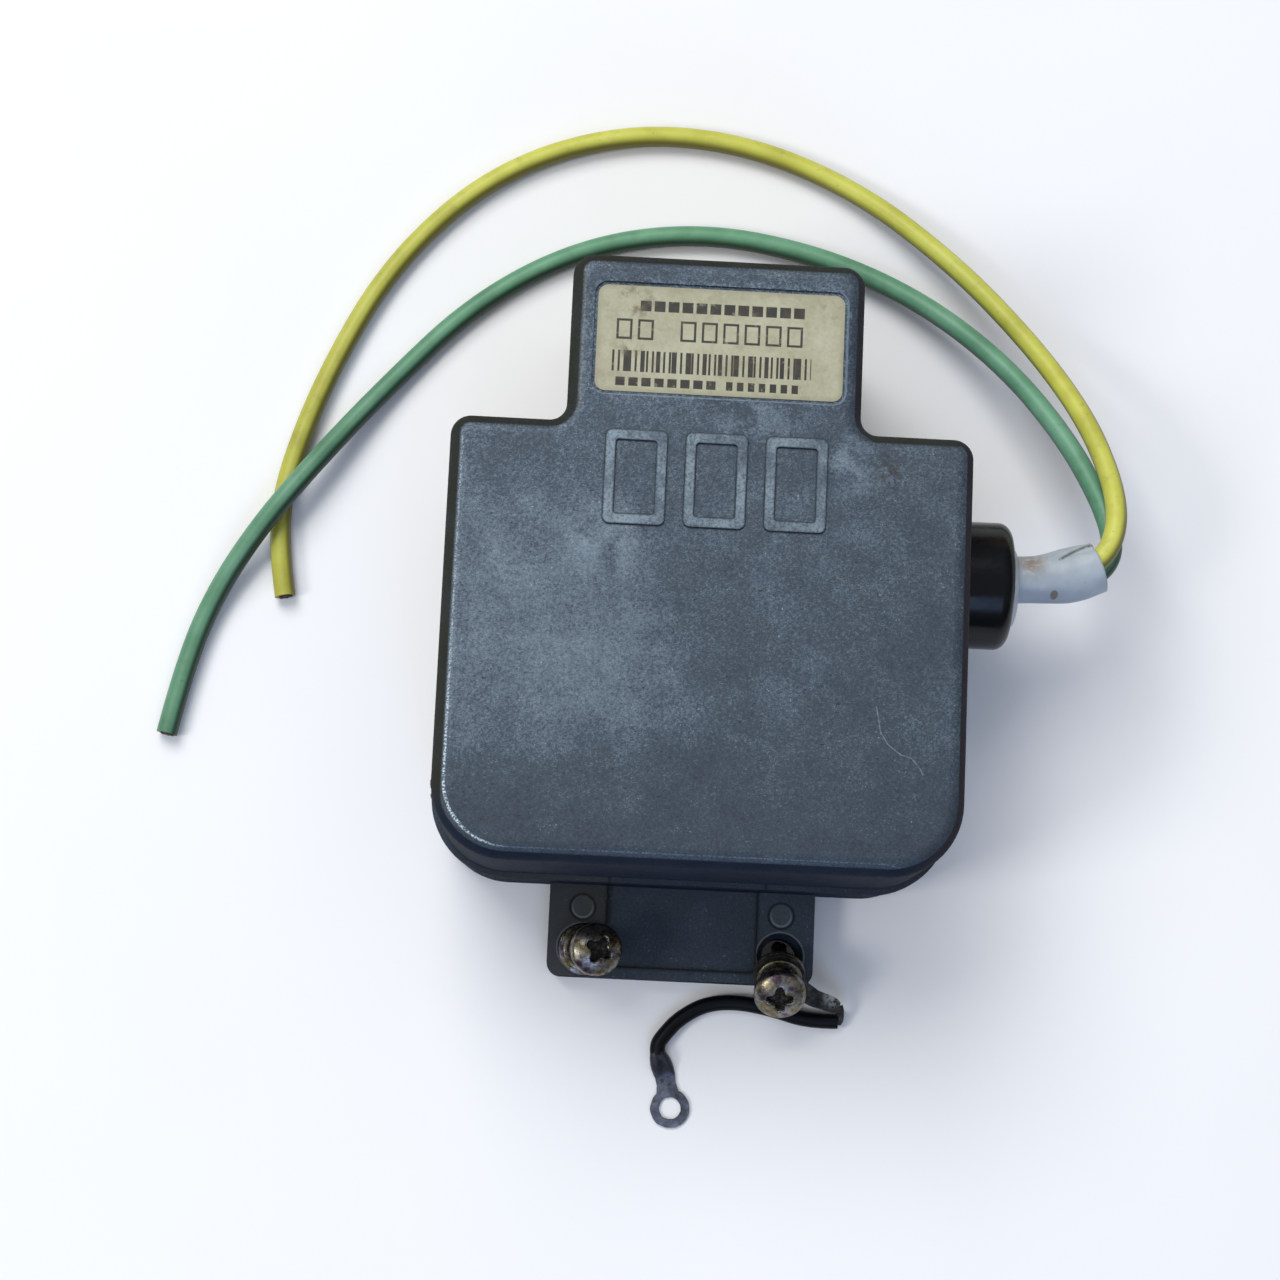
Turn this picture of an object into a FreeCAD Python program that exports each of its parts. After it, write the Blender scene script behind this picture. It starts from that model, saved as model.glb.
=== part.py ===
import FreeCAD, Part
import math
import os

from FreeCAD import Vector

# A small pulsed X-band magnetron in a T-shaped die-cast housing, in millimetres.
# The origin is the centre of the waveguide port on the flange face. +Z points away
# from the waveguide, +Y towards the narrow neck and +X towards the high-voltage leads.

# Waveguide flange
FLANGE_SIDE = 41.4
FLANGE_THICKNESS = 5.5
FLANGE_CORNER = 2.2
GUIDE_BROAD = 22.86
GUIDE_NARROW = 10.16
HOLE_PITCH_X = 30.99
HOLE_PITCH_Y = 32.51
CAPTIVE_HOLE = 5.6
CAPTIVE_CHAMFER = 0.8
TAPPED_HOLE = 3.3
TAPPED_DEPTH = 8.0
TAPPED_BOSS = 8.0
TAPPED_BOSS_TOP = 10.0
TAB_PANEL_HALF = 11.8
TAB_PANEL_RIM = 1.6
TAB_PANEL_DEPTH = 0.9
TAB_PANEL_CORNER = 1.2
PIN_MARK = 4.0
PIN_MARK_DEPTH = 0.3
PIN_MARK_Y = -10.0

# Housing
BODY_HALF = 38.35
BODY_LOW_Y = -6.5
SHOULDER_Y = 58.2
NECK_HALF = 21.6
NECK_TOP_Y = 83.5
BODY_CORNER = 11.0
SHOULDER_CORNER = 3.0
NECK_ROOT = 2.5
NECK_CORNER = 3.2
BACK_Z = 1.0
SPLIT_Z = 22.0
WALL = 2.6
FACE = 2.8
FLOOR = 3.0
LIP = 0.8
LIP_HEIGHT = 2.4
EDGE_ROUND = 2.6
BACK_ROUND = 1.5
SPIGOT = 1.2
SPIGOT_HEIGHT = 2.0
SPIGOT_GAP = 0.25
FOOT_LAND = 9.0
LEAST_CORNER = 0.5
WALL_INNER_X = BODY_HALF - WALL
FLOOR_TOP_Z = BACK_Z + FLOOR

# Label recess and cast pads on the front face
LABEL_WIDTH = 36.3
LABEL_HEIGHT = 16.0
LABEL_X = 0.4
LABEL_Y = 70.5
LABEL_CORNER = 1.5
LABEL_THICKNESS = 0.15
LABEL_RECESS = 0.35
LABEL_MARGIN = 0.5
CAST_PAD_COUNT = 3
CAST_PAD_WIDTH = 9.0
CAST_PAD_HEIGHT = 14.0
CAST_PAD_PITCH = 11.7
CAST_PAD_STROKE = 1.5
CAST_PAD_CORNER = 1.0
CAST_PAD_INNER_CORNER = 0.5
CAST_PAD_RISE = 0.35
CAST_PAD_Y = 49.7
CAST_PAD_X = 0.5

# Cover screws
COVER_SCREW = 3.0
COVER_SCREW_HEAD = 5.6
COVER_SCREW_HEAD_HEIGHT = 2.0
COVER_SCREW_SINK = 0.4
COVER_SCREW_BITE = 6.0
COVER_SCREW_SLOT = 0.8
SHANK_CLEARANCE = 0.2
HEAD_CLEARANCE = 0.3
COVER_POST = 6.6
COVER_POST_DEPTH = 9.0
LOW_POST_FROM_SIDE = 11.2
LOW_POST_FROM_END = 10.1
NECK_POST_FROM_SIDE = 5.4
NECK_POST_FROM_END = 5.5
LOW_POST_X = BODY_HALF - LOW_POST_FROM_SIDE
LOW_POST_Y = BODY_LOW_Y + LOW_POST_FROM_END
NECK_POST_X = NECK_HALF - NECK_POST_FROM_SIDE
NECK_POST_Y = NECK_TOP_Y - NECK_POST_FROM_END
HEAD_SEAT_Z = BACK_Z + COVER_SCREW_HEAD_HEIGHT + COVER_SCREW_SINK

# Magnetron axis, along X
AXIS_Y = 40.8
AXIS_Z = SPLIT_Z
ANODE_RADIUS = 12.0
ANODE_HALF = 8.0
VANE_COUNT = 12
VANE_HALF = 4.0
VANE_THICKNESS = 0.7
VANE_TIP_RADIUS = 2.4
CAVITY_RADIUS = 5.6
END_SPACE_RADIUS = 7.0
OUTPUT_SLOT = 1.2
STRAP_INNER = 3.0
STRAP_OUTER = 3.6
STRAP_THICKNESS = 0.5
POLE_DISC = 3.0
POLE_NOSE_GAP = 0.4
POLE_NOSE_TIP = 3.2
POLE_TIP_X = 5.2
POLE_BORE = 2.6
POLE_FACE_X = ANODE_HALF + POLE_DISC
MAGNET_RADIUS = 12.6
MAGNET_BORE = 5.5
MAGNET_CHAMFER = 0.6
YOKE_PLATE = 5.0
YOKE_WIDTH = 24.0
YOKE_BEND = 5.5
YOKE_BORE = 5.5
YOKE_SCREW = 3.0
YOKE_SCREW_BITE = 7.0
YOKE_TO_MAGNET = 1.4
YOKE_TO_WALL = 3.6
YOKE_TO_FACE = 2.2
YOKE_OUTER_X = WALL_INNER_X - YOKE_TO_WALL
YOKE_INNER_X = YOKE_OUTER_X - YOKE_PLATE
YOKE_SCREW_X = YOKE_INNER_X + YOKE_PLATE / 2
YOKE_LOW_Z = AXIS_Z - MAGNET_RADIUS
YOKE_TOP_Z = AXIS_Z + MAGNET_RADIUS + YOKE_TO_MAGNET + YOKE_PLATE

# The cover's face stands clear of the yoke
FRONT_Z = YOKE_TOP_Z + YOKE_TO_FACE + FACE

# Cathode and its support
EMITTER_RADIUS = 1.35
EMITTER_BORE = 1.05
EMITTER_HALF = 4.2
HAT_RADIUS = 1.95
HAT_THICKNESS = 0.5
HEATER_STEPS = 5
HEATER_RADIUS = 0.6
HEATER_WIRE = 0.28
STALK_RADIUS = 1.3
STALK_BORE = 0.9
ROD_RADIUS = 0.45
INSULATOR_RADIUS = 5.2
INSULATOR_BORE = 3.4
INSULATOR_TO_WALL = 1.0
STALK_PROUD = 2.9
ROD_PROUD = 2.0
INSULATOR_END_X = WALL_INNER_X - INSULATOR_TO_WALL
STALK_END_X = INSULATOR_END_X + STALK_PROUD
ROD_END_X = STALK_END_X + ROD_PROUD
CAP_THICKNESS = 0.8
EXHAUST_RADIUS = 2.6
EXHAUST_BORE = 1.9
EXHAUST_ROOT = 1.5
EXHAUST_LENGTH = 16.0
PINCH_LENGTH = 5.0
PINCH_HALF_WIDTH = 3.64
PINCH_THICKNESS = 0.9

# Output window and transition
PORT_DEPTH = 4.5
WINDOW_THICKNESS = 1.2
WINDOW_CLEARANCE = 0.05
PORT_TOP_Z = PORT_DEPTH + WINDOW_THICKNESS
THROAT_Y = 1.2
THROAT_HALF_X = 9.75
THROAT_HALF_Y = 2.8
THROAT_TOP_Z = 8.0
TRANSITION_WALL_X = 2.0
TRANSITION_WALL_Y = 1.4
TRANSITION_LAP = 2.0
BEND_Y = 7.0
BEND_Z = 17.5
BEND_HALF_X = 7.5
BEND_HALF_Y = 2.6
SLOT_HALF_X = 4.0
SLOT_HALF_Z = 0.9
SLOT_WALL = 2.2

# High-voltage bushing, its potting and the sleeve over the leads
BUSHING_RADIUS = 9.75
BUSHING_REACH = 8.75
BUSHING_END_X = BODY_HALF + BUSHING_REACH
BUSHING_ROUND = 2.0
BUSHING_BORE = 7.2
BUSHING_COLLAR = 11.3
BUSHING_COLLAR_WIDTH = 1.6
BUSHING_FIT = 0.1
POTTING_DEPTH = 6.9
POTTING_PROUD = 1.2
POTTING_START_X = BUSHING_END_X - POTTING_DEPTH
POTTING_FACE_X = BUSHING_END_X + POTTING_PROUD
POTTING_LIP = 7.6
POTTING_LIP_HEIGHT = 0.5
POTTING_SHOULDER = 6.2
POTTING_FACE_RADIUS = 5.6
POTTING_ROUND = 0.2
SLEEVE_RADIUS = 3.95
SLEEVE_WALL = 0.35
SLEEVE_RUN = 6.4
SLEEVE_BEND_X = POTTING_FACE_X + SLEEVE_RUN
SLEEVE_ROUTE = [
    (POTTING_FACE_X, 41.5, 22.0),
    (SLEEVE_BEND_X, 41.5, 22.0),
    (SLEEVE_BEND_X + SLEEVE_RUN, 43.8, 22.0),
]

# Leads
LEAD_DIAMETER = 3.3
YELLOW_ROUTE = [
    (POTTING_FACE_X, 41.9, 23.7),
    (SLEEVE_BEND_X, 41.9, 23.7),
    (61.6, 44.5, 23.8),
    (64.2, 50.5, 23.2),
    (63.6, 58.5, 20.8),
    (59.5, 70.0, 16.0),
    (51.5, 83.0, 10.4),
    (39.5, 97.0, 5.4),
    (23.5, 109.8, 2.0),
    (4.0, 117.0, 1.7),
    (-16.0, 117.2, 1.7),
    (-35.5, 109.5, 1.7),
    (-51.0, 94.0, 1.7),
    (-60.8, 74.5, 1.7),
    (-66.6, 56.0, 1.7),
    (-66.8, 45.5, 1.7),
    (-65.2, 37.4, 1.7),
]
GREEN_ROUTE = [
    (POTTING_FACE_X, 41.1, 20.3),
    (SLEEVE_BEND_X, 41.1, 20.3),
    (61.9, 43.2, 20.2),
    (64.2, 47.8, 19.8),
    (62.2, 55.5, 18.2),
    (56.6, 67.5, 13.6),
    (47.0, 80.5, 8.2),
    (33.5, 91.5, 3.8),
    (17.0, 98.6, 1.7),
    (-2.0, 101.2, 1.7),
    (-20.5, 97.6, 1.7),
    (-37.5, 87.5, 1.7),
    (-52.0, 71.5, 2.0),
    (-62.4, 57.6, 5.5),
    (-69.6, 47.8, 5.5),
    (-76.2, 37.5, 2.0),
    (-80.2, 26.0, 1.7),
    (-82.4, 14.5, 1.7),
]

# Captive screws, tilted in their holes
SCREW_DIAMETER = 3.9
SCREW_POINT = 2.5
SCREW_POINT_LENGTH = 7.2
SCREW_LENGTH = 12.9
HEAD_DIAMETER = 8.0
HEAD_HEIGHT = 2.9
HEAD_CROWN = 1.5
RECESS_SPAN = 4.2
RECESS_ARM = 1.1
RECESS_DEPTH = 1.5
WASHER_OUTER = 8.0
WASHER_INNER = 4.3
WASHER_THICKNESS = 0.8
SPRING_OUTER = 7.0
SPRING_INNER = 4.1
SPRING_THICKNESS = 1.0
SPRING_SLIT = 0.6
LEFT_TIP = (-16.8, -16.2, 0.6)
LEFT_AIM = (3.8, -0.8, 13.9)
LEFT_WASHER_AT = 6.2
RIGHT_TIP = (15.6, -14.5, 0.85)
RIGHT_AIM = (-0.4, -8.0, 11.5)
RIGHT_WASHER_AT = 7.7

# Earth lug, lead and ring terminal
LUG_THICKNESS = 0.5
LUG_RING_RADIUS = 4.0
LUG_TONGUE_HALF = 1.6
LUG_TONGUE_OVERLAP = 0.6
LUG_TONGUE_REACH = 2.6
LUG_TIP_HALF = 0.64
LUG_BEND_OVERLAP = 0.1
LUG_BARREL_RADIUS = 1.1
LUG_BARREL_LENGTH = 0.9
LEAD_REACH = 4.0
EARTH_DIAMETER = 2.4
EARTH_ROUTE = [
    (25.2, -25.7, 1.5),
    (20.5, -25.9, 1.3),
    (14.8, -24.2, 1.2),
    (9.0, -23.4, 1.2),
    (4.3, -24.0, 1.2),
    (0.3, -26.5, 1.2),
    (-1.8, -29.0, 1.4),
    (-3.0, -30.8, 1.5),
    (-2.6, -32.3, 1.6),
]
TERMINAL_CENTRE = (-0.4, -40.3)
TERMINAL_RADIUS = 3.05
TERMINAL_HOLE = 3.4
TERMINAL_THICKNESS = 0.6
TERMINAL_TONGUE_HALF = 1.6
TERMINAL_BARREL_RADIUS = 1.6
TERMINAL_BARREL_LENGTH = 3.3
TERMINAL_BARREL_LAP = 0.8
TERMINAL_ROOT_SHARE = 0.95

X_AXIS = Vector(1, 0, 0)
Y_AXIS = Vector(0, 1, 0)
Z_AXIS = Vector(0, 0, 1)
LEFT = -1
RIGHT = 1


# Helpers

def box(x0, x1, y0, y1, z0, z1):
    return Part.makeBox(x1 - x0, y1 - y0, z1 - z0, Vector(x0, y0, z0))


def disc_z(x, y, z0, z1, radius):
    return Part.makeCylinder(radius, z1 - z0, Vector(x, y, z0), Z_AXIS)


def disc_x(x0, x1, radius):
    """A cylinder about the magnetron axis, from x0 to x1."""
    start = min(x0, x1)
    return Part.makeCylinder(radius, abs(x1 - x0), Vector(start, AXIS_Y, AXIS_Z), X_AXIS)


def tube_x(x0, x1, outer, inner):
    return disc_x(x0, x1, outer).cut(disc_x(x0, x1, inner))


def about_axis(profile):
    """A solid turned about the magnetron axis from (x, radius) points."""
    points = [Vector(x, AXIS_Y + radius, AXIS_Z) for x, radius in profile]
    face = Part.Face(Part.makePolygon(points + [points[0]]))
    return face.revolve(Vector(0, AXIS_Y, AXIS_Z), X_AXIS, 360)


def rounded_wire(corners, z):
    """A closed outline at height z from (x, y, radius) corners, with arcs in the corners."""
    count = len(corners)
    edges = []
    ends = []
    for i, (x, y, radius) in enumerate(corners):
        here = Vector(x, y, z)
        before = Vector(corners[i - 1][0], corners[i - 1][1], z) - here
        after = Vector(corners[(i + 1) % count][0], corners[(i + 1) % count][1], z) - here
        before.normalize()
        after.normalize()
        half = before.getAngle(after) / 2
        reach = radius / math.tan(half)
        inward = before + after
        inward.normalize()
        middle = here + inward * (radius / math.sin(half) - radius)
        ends.append((here + before * reach, middle, here + after * reach))
    for i, (start, middle, end) in enumerate(ends):
        edges.append(Part.Arc(start, middle, end).toShape())
        edges.append(Part.LineSegment(end, ends[(i + 1) % count][0]).toShape())
    return Part.Wire(edges)


def rounded_plate(half_x, half_y, radius, z0, z1, x=0.0, y=0.0):
    corners = [(x - half_x, y - half_y, radius), (x + half_x, y - half_y, radius),
               (x + half_x, y + half_y, radius), (x - half_x, y + half_y, radius)]
    return Part.Face(rounded_wire(corners, z0)).extrude(Z_AXIS * (z1 - z0))


def housing_block(grow, z0, z1):
    """The T-shaped outline of the housing, grown outwards by grow, from z0 to z1."""
    body, neck = BODY_HALF + grow, NECK_HALF + grow
    low, shoulder, top = BODY_LOW_Y - grow, SHOULDER_Y + grow, NECK_TOP_Y + grow
    root = max(NECK_ROOT - grow, LEAST_CORNER)
    corner = max(SHOULDER_CORNER + grow, LEAST_CORNER)
    neck_corner = max(NECK_CORNER + grow, LEAST_CORNER)
    corners = [(-body, low, BODY_CORNER + grow), (body, low, BODY_CORNER + grow),
               (body, shoulder, corner), (neck, shoulder, root),
               (neck, top, neck_corner), (-neck, top, neck_corner),
               (-neck, shoulder, root), (-body, shoulder, corner)]
    return Part.Face(rounded_wire(corners, z0)).extrude(Z_AXIS * (z1 - z0))


def edges_at(shape, z):
    """The edges that lie wholly at height z."""
    return [e for e in shape.Edges
            if abs(e.BoundBox.ZMin - z) < 1e-4 and abs(e.BoundBox.ZMax - z) < 1e-4]


def fused(shapes):
    whole = shapes[0].fuse(shapes[1:])
    return whole.removeSplitter()


def mirrored_x(shape):
    return shape.mirror(Vector(0, 0, 0), X_AXIS)


def screw_places():
    """The four places of the cover screws."""
    return [(side * x, y) for side in (LEFT, RIGHT)
            for x, y in ((LOW_POST_X, LOW_POST_Y), (NECK_POST_X, NECK_POST_Y))]


def flange_holes(y_side):
    return [(side * HOLE_PITCH_X / 2, y_side * HOLE_PITCH_Y / 2) for side in (LEFT, RIGHT)]


def route_wire(route):
    """Straight runs joined by arcs as large as the runs allow, and the smallest radius."""
    points = [Vector(*p) for p in route]
    edges, radii = [], []
    start = points[0]
    for before, here, after in zip(points, points[1:], points[2:]):
        back, onward = before - here, after - here
        reach = 0.45 * min(back.Length, onward.Length)
        back.normalize()
        onward.normalize()
        half_turn = (math.pi - back.getAngle(onward)) / 2
        radius = reach / math.tan(half_turn)
        inward = back + onward
        inward.normalize()
        middle = here + inward * (radius / math.cos(half_turn) - radius)
        enter, leave = here + back * reach, here + onward * reach
        edges.append(Part.LineSegment(start, enter).toShape())
        edges.append(Part.Arc(enter, middle, leave).toShape())
        radii.append(round(radius, 1))
        start = leave
    edges.append(Part.LineSegment(start, points[-1]).toShape())
    return Part.Wire(edges), radii


def tube_along(name, route, radius):
    """A round solid along a route."""
    wire, radii = route_wire(route)
    start = Vector(*route[0])
    along = Vector(*route[1]) - start
    ring = Part.Wire([Part.makeCircle(radius, start, along)])
    pipe = Part.BRepOffsetAPI.MakePipeShell(wire)
    pipe.add(ring)
    pipe.build()
    pipe.makeSolid()
    solid = pipe.shape()
    print(name, "least radius", min(radii), "length %.1f" % wire.Length)
    return solid


def on_axis(shape, tip, aim):
    """Moves a shape that stands on +Z at the origin to a tip, and turns it to an aim."""
    turned = shape.copy()
    turned.Placement = FreeCAD.Placement(Vector(*tip), FreeCAD.Rotation(Z_AXIS, Vector(*aim)))
    return turned


# Housing

def label_block(grow, z0, z1):
    return rounded_plate(LABEL_WIDTH / 2 + grow, LABEL_HEIGHT / 2 + grow, LABEL_CORNER + grow,
                         z0, z1, LABEL_X, LABEL_Y)


def cast_pads():
    """Plain raised frames on the cover's face."""
    pads = []
    for i in range(CAST_PAD_COUNT):
        x = CAST_PAD_X + (i - (CAST_PAD_COUNT - 1) / 2) * CAST_PAD_PITCH
        half_x, half_y = CAST_PAD_WIDTH / 2, CAST_PAD_HEIGHT / 2
        outer = rounded_plate(half_x, half_y, CAST_PAD_CORNER,
                              FRONT_Z, FRONT_Z + CAST_PAD_RISE, x, CAST_PAD_Y)
        inner = rounded_plate(half_x - CAST_PAD_STROKE, half_y - CAST_PAD_STROKE, CAST_PAD_INNER_CORNER,
                              FRONT_Z, FRONT_Z + CAST_PAD_RISE, x, CAST_PAD_Y)
        pads.append(outer.cut(inner))
    return pads


def front_cover():
    outer = housing_block(0, SPLIT_Z, FRONT_Z)
    outer = outer.makeFillet(EDGE_ROUND, edges_at(outer, FRONT_Z))
    cavity = housing_block(-WALL, SPLIT_Z, FRONT_Z - FACE)
    shell = outer.cut(cavity)
    posts = [disc_z(x, y, SPLIT_Z, FRONT_Z - FACE, COVER_POST / 2) for x, y in screw_places()]
    inside = housing_block(-WALL / 2, SPLIT_Z, FRONT_Z - FACE / 2)
    posts = [post.common(inside) for post in posts]
    cover = fused([shell] + posts + cast_pads())
    holes = [disc_z(x, y, SPLIT_Z, SPLIT_Z + COVER_POST_DEPTH, COVER_SCREW / 2)
             for x, y in screw_places()]
    holes.append(label_block(LABEL_MARGIN, FRONT_Z - LABEL_RECESS, FRONT_Z))
    holes.append(disc_x(WALL_INNER_X - WALL, BODY_HALF + WALL, BUSHING_RADIUS + BUSHING_FIT))
    return cover.cut(holes)


def name_label():
    return label_block(0, FRONT_Z - LABEL_RECESS, FRONT_Z - LABEL_RECESS + LABEL_THICKNESS)


def flange_plate():
    plate = rounded_plate(FLANGE_SIDE / 2, FLANGE_SIDE / 2, FLANGE_CORNER, 0, FLANGE_THICKNESS)
    panel_low = -FLANGE_SIDE / 2 + TAB_PANEL_RIM
    panel_half_y = (BODY_LOW_Y + WALL / 2 - panel_low) / 2
    panel = rounded_plate(TAB_PANEL_HALF, panel_half_y, TAB_PANEL_CORNER,
                          FLANGE_THICKNESS - TAB_PANEL_DEPTH, FLANGE_THICKNESS,
                          0, panel_low + panel_half_y)
    marks = [disc_z(side * HOLE_PITCH_X / 2, PIN_MARK_Y, FLANGE_THICKNESS - PIN_MARK_DEPTH,
                    FLANGE_THICKNESS, PIN_MARK / 2) for side in (LEFT, RIGHT)]
    return plate.cut([panel] + marks)


def captive_hole(x, y):
    radius, wide = CAPTIVE_HOLE / 2, CAPTIVE_HOLE / 2 + CAPTIVE_CHAMFER
    top = Part.makeCone(radius, wide, CAPTIVE_CHAMFER,
                        Vector(x, y, FLANGE_THICKNESS - CAPTIVE_CHAMFER), Z_AXIS)
    return disc_z(x, y, 0, FLANGE_THICKNESS, radius).fuse(top)


def screw_bore(x, y, diameter):
    """A plain hole for a screw from the back, with its head sunk in the floor."""
    shank = disc_z(x, y, 0, SPLIT_Z, diameter / 2 + SHANK_CLEARANCE)
    head = disc_z(x, y, 0, HEAD_SEAT_Z, COVER_SCREW_HEAD / 2 + HEAD_CLEARANCE)
    return shank.fuse(head)


def yoke_foot(side):
    """A rib from the floor up to the yoke's end."""
    x0, x1 = sorted((side * YOKE_INNER_X, side * YOKE_OUTER_X))
    return box(x0, x1, AXIS_Y - YOKE_WIDTH / 2, AXIS_Y + YOKE_WIDTH / 2, BACK_Z, YOKE_LOW_Z)


def body_rim():
    """The lip round the wide body's edge. The neck has none."""
    rim = housing_block(LIP, SPLIT_Z - LIP_HEIGHT, SPLIT_Z)
    body = box(-BODY_HALF - LIP, BODY_HALF + LIP, BODY_LOW_Y - LIP, SHOULDER_Y + LIP,
               SPLIT_Z - LIP_HEIGHT, SPLIT_Z)
    return rim.common(body)


def rear_housing():
    tray = housing_block(0, BACK_Z, SPLIT_Z)
    tray = tray.makeFillet(BACK_ROUND, edges_at(tray, BACK_Z))
    tray = tray.fuse(body_rim())
    tray = tray.cut(housing_block(-WALL, FLOOR_TOP_Z, SPLIT_Z))
    grown = -WALL - SPIGOT_GAP
    spigot = housing_block(grown, SPLIT_Z - WALL, SPLIT_Z + SPIGOT_HEIGHT)
    spigot = spigot.cut(housing_block(grown - SPIGOT, SPLIT_Z - WALL, SPLIT_Z + SPIGOT_HEIGHT))
    backing = housing_block(-WALL / 2, SPLIT_Z - 2 * WALL, SPLIT_Z)
    backing = backing.cut(housing_block(grown - SPIGOT, SPLIT_Z - 2 * WALL, SPLIT_Z))
    posts = [disc_z(x, y, BACK_Z, SPLIT_Z, COVER_POST / 2) for x, y in screw_places()]
    lands = [disc_z(side * NECK_POST_X, NECK_POST_Y, 0, FLOOR_TOP_Z, FOOT_LAND / 2)
             for side in (LEFT, RIGHT)]
    taps = [disc_z(x, y, 0, TAPPED_BOSS_TOP, TAPPED_BOSS / 2) for x, y in flange_holes(1)]
    half_y = THROAT_HALF_Y + TRANSITION_WALL_Y
    throat = box(-THROAT_HALF_X - TRANSITION_WALL_X, THROAT_HALF_X + TRANSITION_WALL_X,
                 THROAT_Y - half_y, THROAT_Y + half_y, BACK_Z, THROAT_TOP_Z)
    feet = [yoke_foot(side) for side in (LEFT, RIGHT)]
    solid = fused([tray, spigot, backing, flange_plate()] + posts + lands + taps + [throat] + feet)
    cuts = [captive_hole(x, y) for x, y in flange_holes(-1)]
    cuts += [disc_z(x, y, SPLIT_Z, SPLIT_Z + SPIGOT_HEIGHT, COVER_POST / 2 + SPIGOT_GAP)
             for x, y in screw_places()]
    cuts += [disc_z(x, y, 0, TAPPED_DEPTH, TAPPED_HOLE / 2) for x, y in flange_holes(1)]
    cuts += [screw_bore(x, y, COVER_SCREW) for x, y in screw_places()]
    cuts += [screw_bore(side * YOKE_SCREW_X, AXIS_Y, YOKE_SCREW) for side in (LEFT, RIGHT)]
    cuts.append(box(-GUIDE_BROAD / 2, GUIDE_BROAD / 2, -GUIDE_NARROW / 2, GUIDE_NARROW / 2,
                    0, PORT_TOP_Z))
    cuts.append(box(-THROAT_HALF_X, THROAT_HALF_X, THROAT_Y - THROAT_HALF_Y,
                    THROAT_Y + THROAT_HALF_Y, 0, THROAT_TOP_Z))
    cuts.append(disc_x(WALL_INNER_X - 2 * WALL, BODY_HALF + WALL, BUSHING_RADIUS + BUSHING_FIT))
    cuts.append(disc_x(WALL_INNER_X - 2 * WALL, WALL_INNER_X, BUSHING_COLLAR + BUSHING_FIT))
    return solid.cut(cuts)


def sunk_screw(x, y, diameter, end_z):
    """A cylinder-head screw driven from the back."""
    low = HEAD_SEAT_Z - COVER_SCREW_HEAD_HEIGHT
    head = disc_z(x, y, low, HEAD_SEAT_Z, COVER_SCREW_HEAD / 2)
    shank = disc_z(x, y, HEAD_SEAT_Z, end_z, diameter / 2)
    slot = box(x - COVER_SCREW_HEAD, x + COVER_SCREW_HEAD, y - COVER_SCREW_SLOT / 2,
               y + COVER_SCREW_SLOT / 2, low, low + COVER_SCREW_SLOT)
    return head.fuse(shank).cut(slot)


def cover_screws():
    end = SPLIT_Z + COVER_SCREW_BITE
    return Part.makeCompound([sunk_screw(x, y, COVER_SCREW, end) for x, y in screw_places()])


def yoke_screws():
    end = YOKE_LOW_Z + YOKE_SCREW_BITE
    return Part.makeCompound([sunk_screw(side * YOKE_SCREW_X, AXIS_Y, YOKE_SCREW, end)
                              for side in (LEFT, RIGHT)])


# Magnetic circuit

def return_yoke():
    """A steel strap folded into a U over the magnets, open towards the flange."""
    outer = box(-YOKE_OUTER_X, YOKE_OUTER_X, AXIS_Y - YOKE_WIDTH / 2, AXIS_Y + YOKE_WIDTH / 2,
                YOKE_LOW_Z, YOKE_TOP_Z)
    bends = [e for e in edges_at(outer, YOKE_TOP_Z) if e.BoundBox.XLength < 1e-6]
    outer = outer.makeFillet(YOKE_BEND, bends)
    inner = box(-YOKE_INNER_X, YOKE_INNER_X, AXIS_Y - YOKE_WIDTH / 2, AXIS_Y + YOKE_WIDTH / 2,
                YOKE_LOW_Z, YOKE_TOP_Z - YOKE_PLATE)
    holes = [disc_x(YOKE_INNER_X, YOKE_OUTER_X, YOKE_BORE)]
    holes += [disc_z(side * YOKE_SCREW_X, AXIS_Y, YOKE_LOW_Z, YOKE_LOW_Z + YOKE_SCREW_BITE,
                     YOKE_SCREW / 2) for side in (LEFT, RIGHT)]
    return outer.cut([inner] + holes)


def magnet(side):
    """A disc magnet. The right one is bored for the cathode's support."""
    disc = disc_x(side * POLE_FACE_X, side * YOKE_INNER_X, MAGNET_RADIUS)
    disc = disc.makeChamfer(MAGNET_CHAMFER, [e for e in disc.Edges if e.BoundBox.XLength < 1e-6])
    if side == RIGHT:
        disc = disc.cut(disc_x(POLE_FACE_X, YOKE_INNER_X, MAGNET_BORE))
    return disc


def pole_piece(side):
    """A soft-iron disc with a conical nose that reaches into the anode's end space."""
    nose = END_SPACE_RADIUS - POLE_NOSE_GAP
    bore = POLE_BORE if side == RIGHT else 0
    profile = [(POLE_TIP_X, bore), (POLE_TIP_X, POLE_NOSE_TIP), (ANODE_HALF, nose),
               (ANODE_HALF, ANODE_RADIUS), (POLE_FACE_X, ANODE_RADIUS), (POLE_FACE_X, bore)]
    piece = about_axis(profile)
    return piece if side == RIGHT else mirrored_x(piece)


# Anode and cathode

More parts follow.
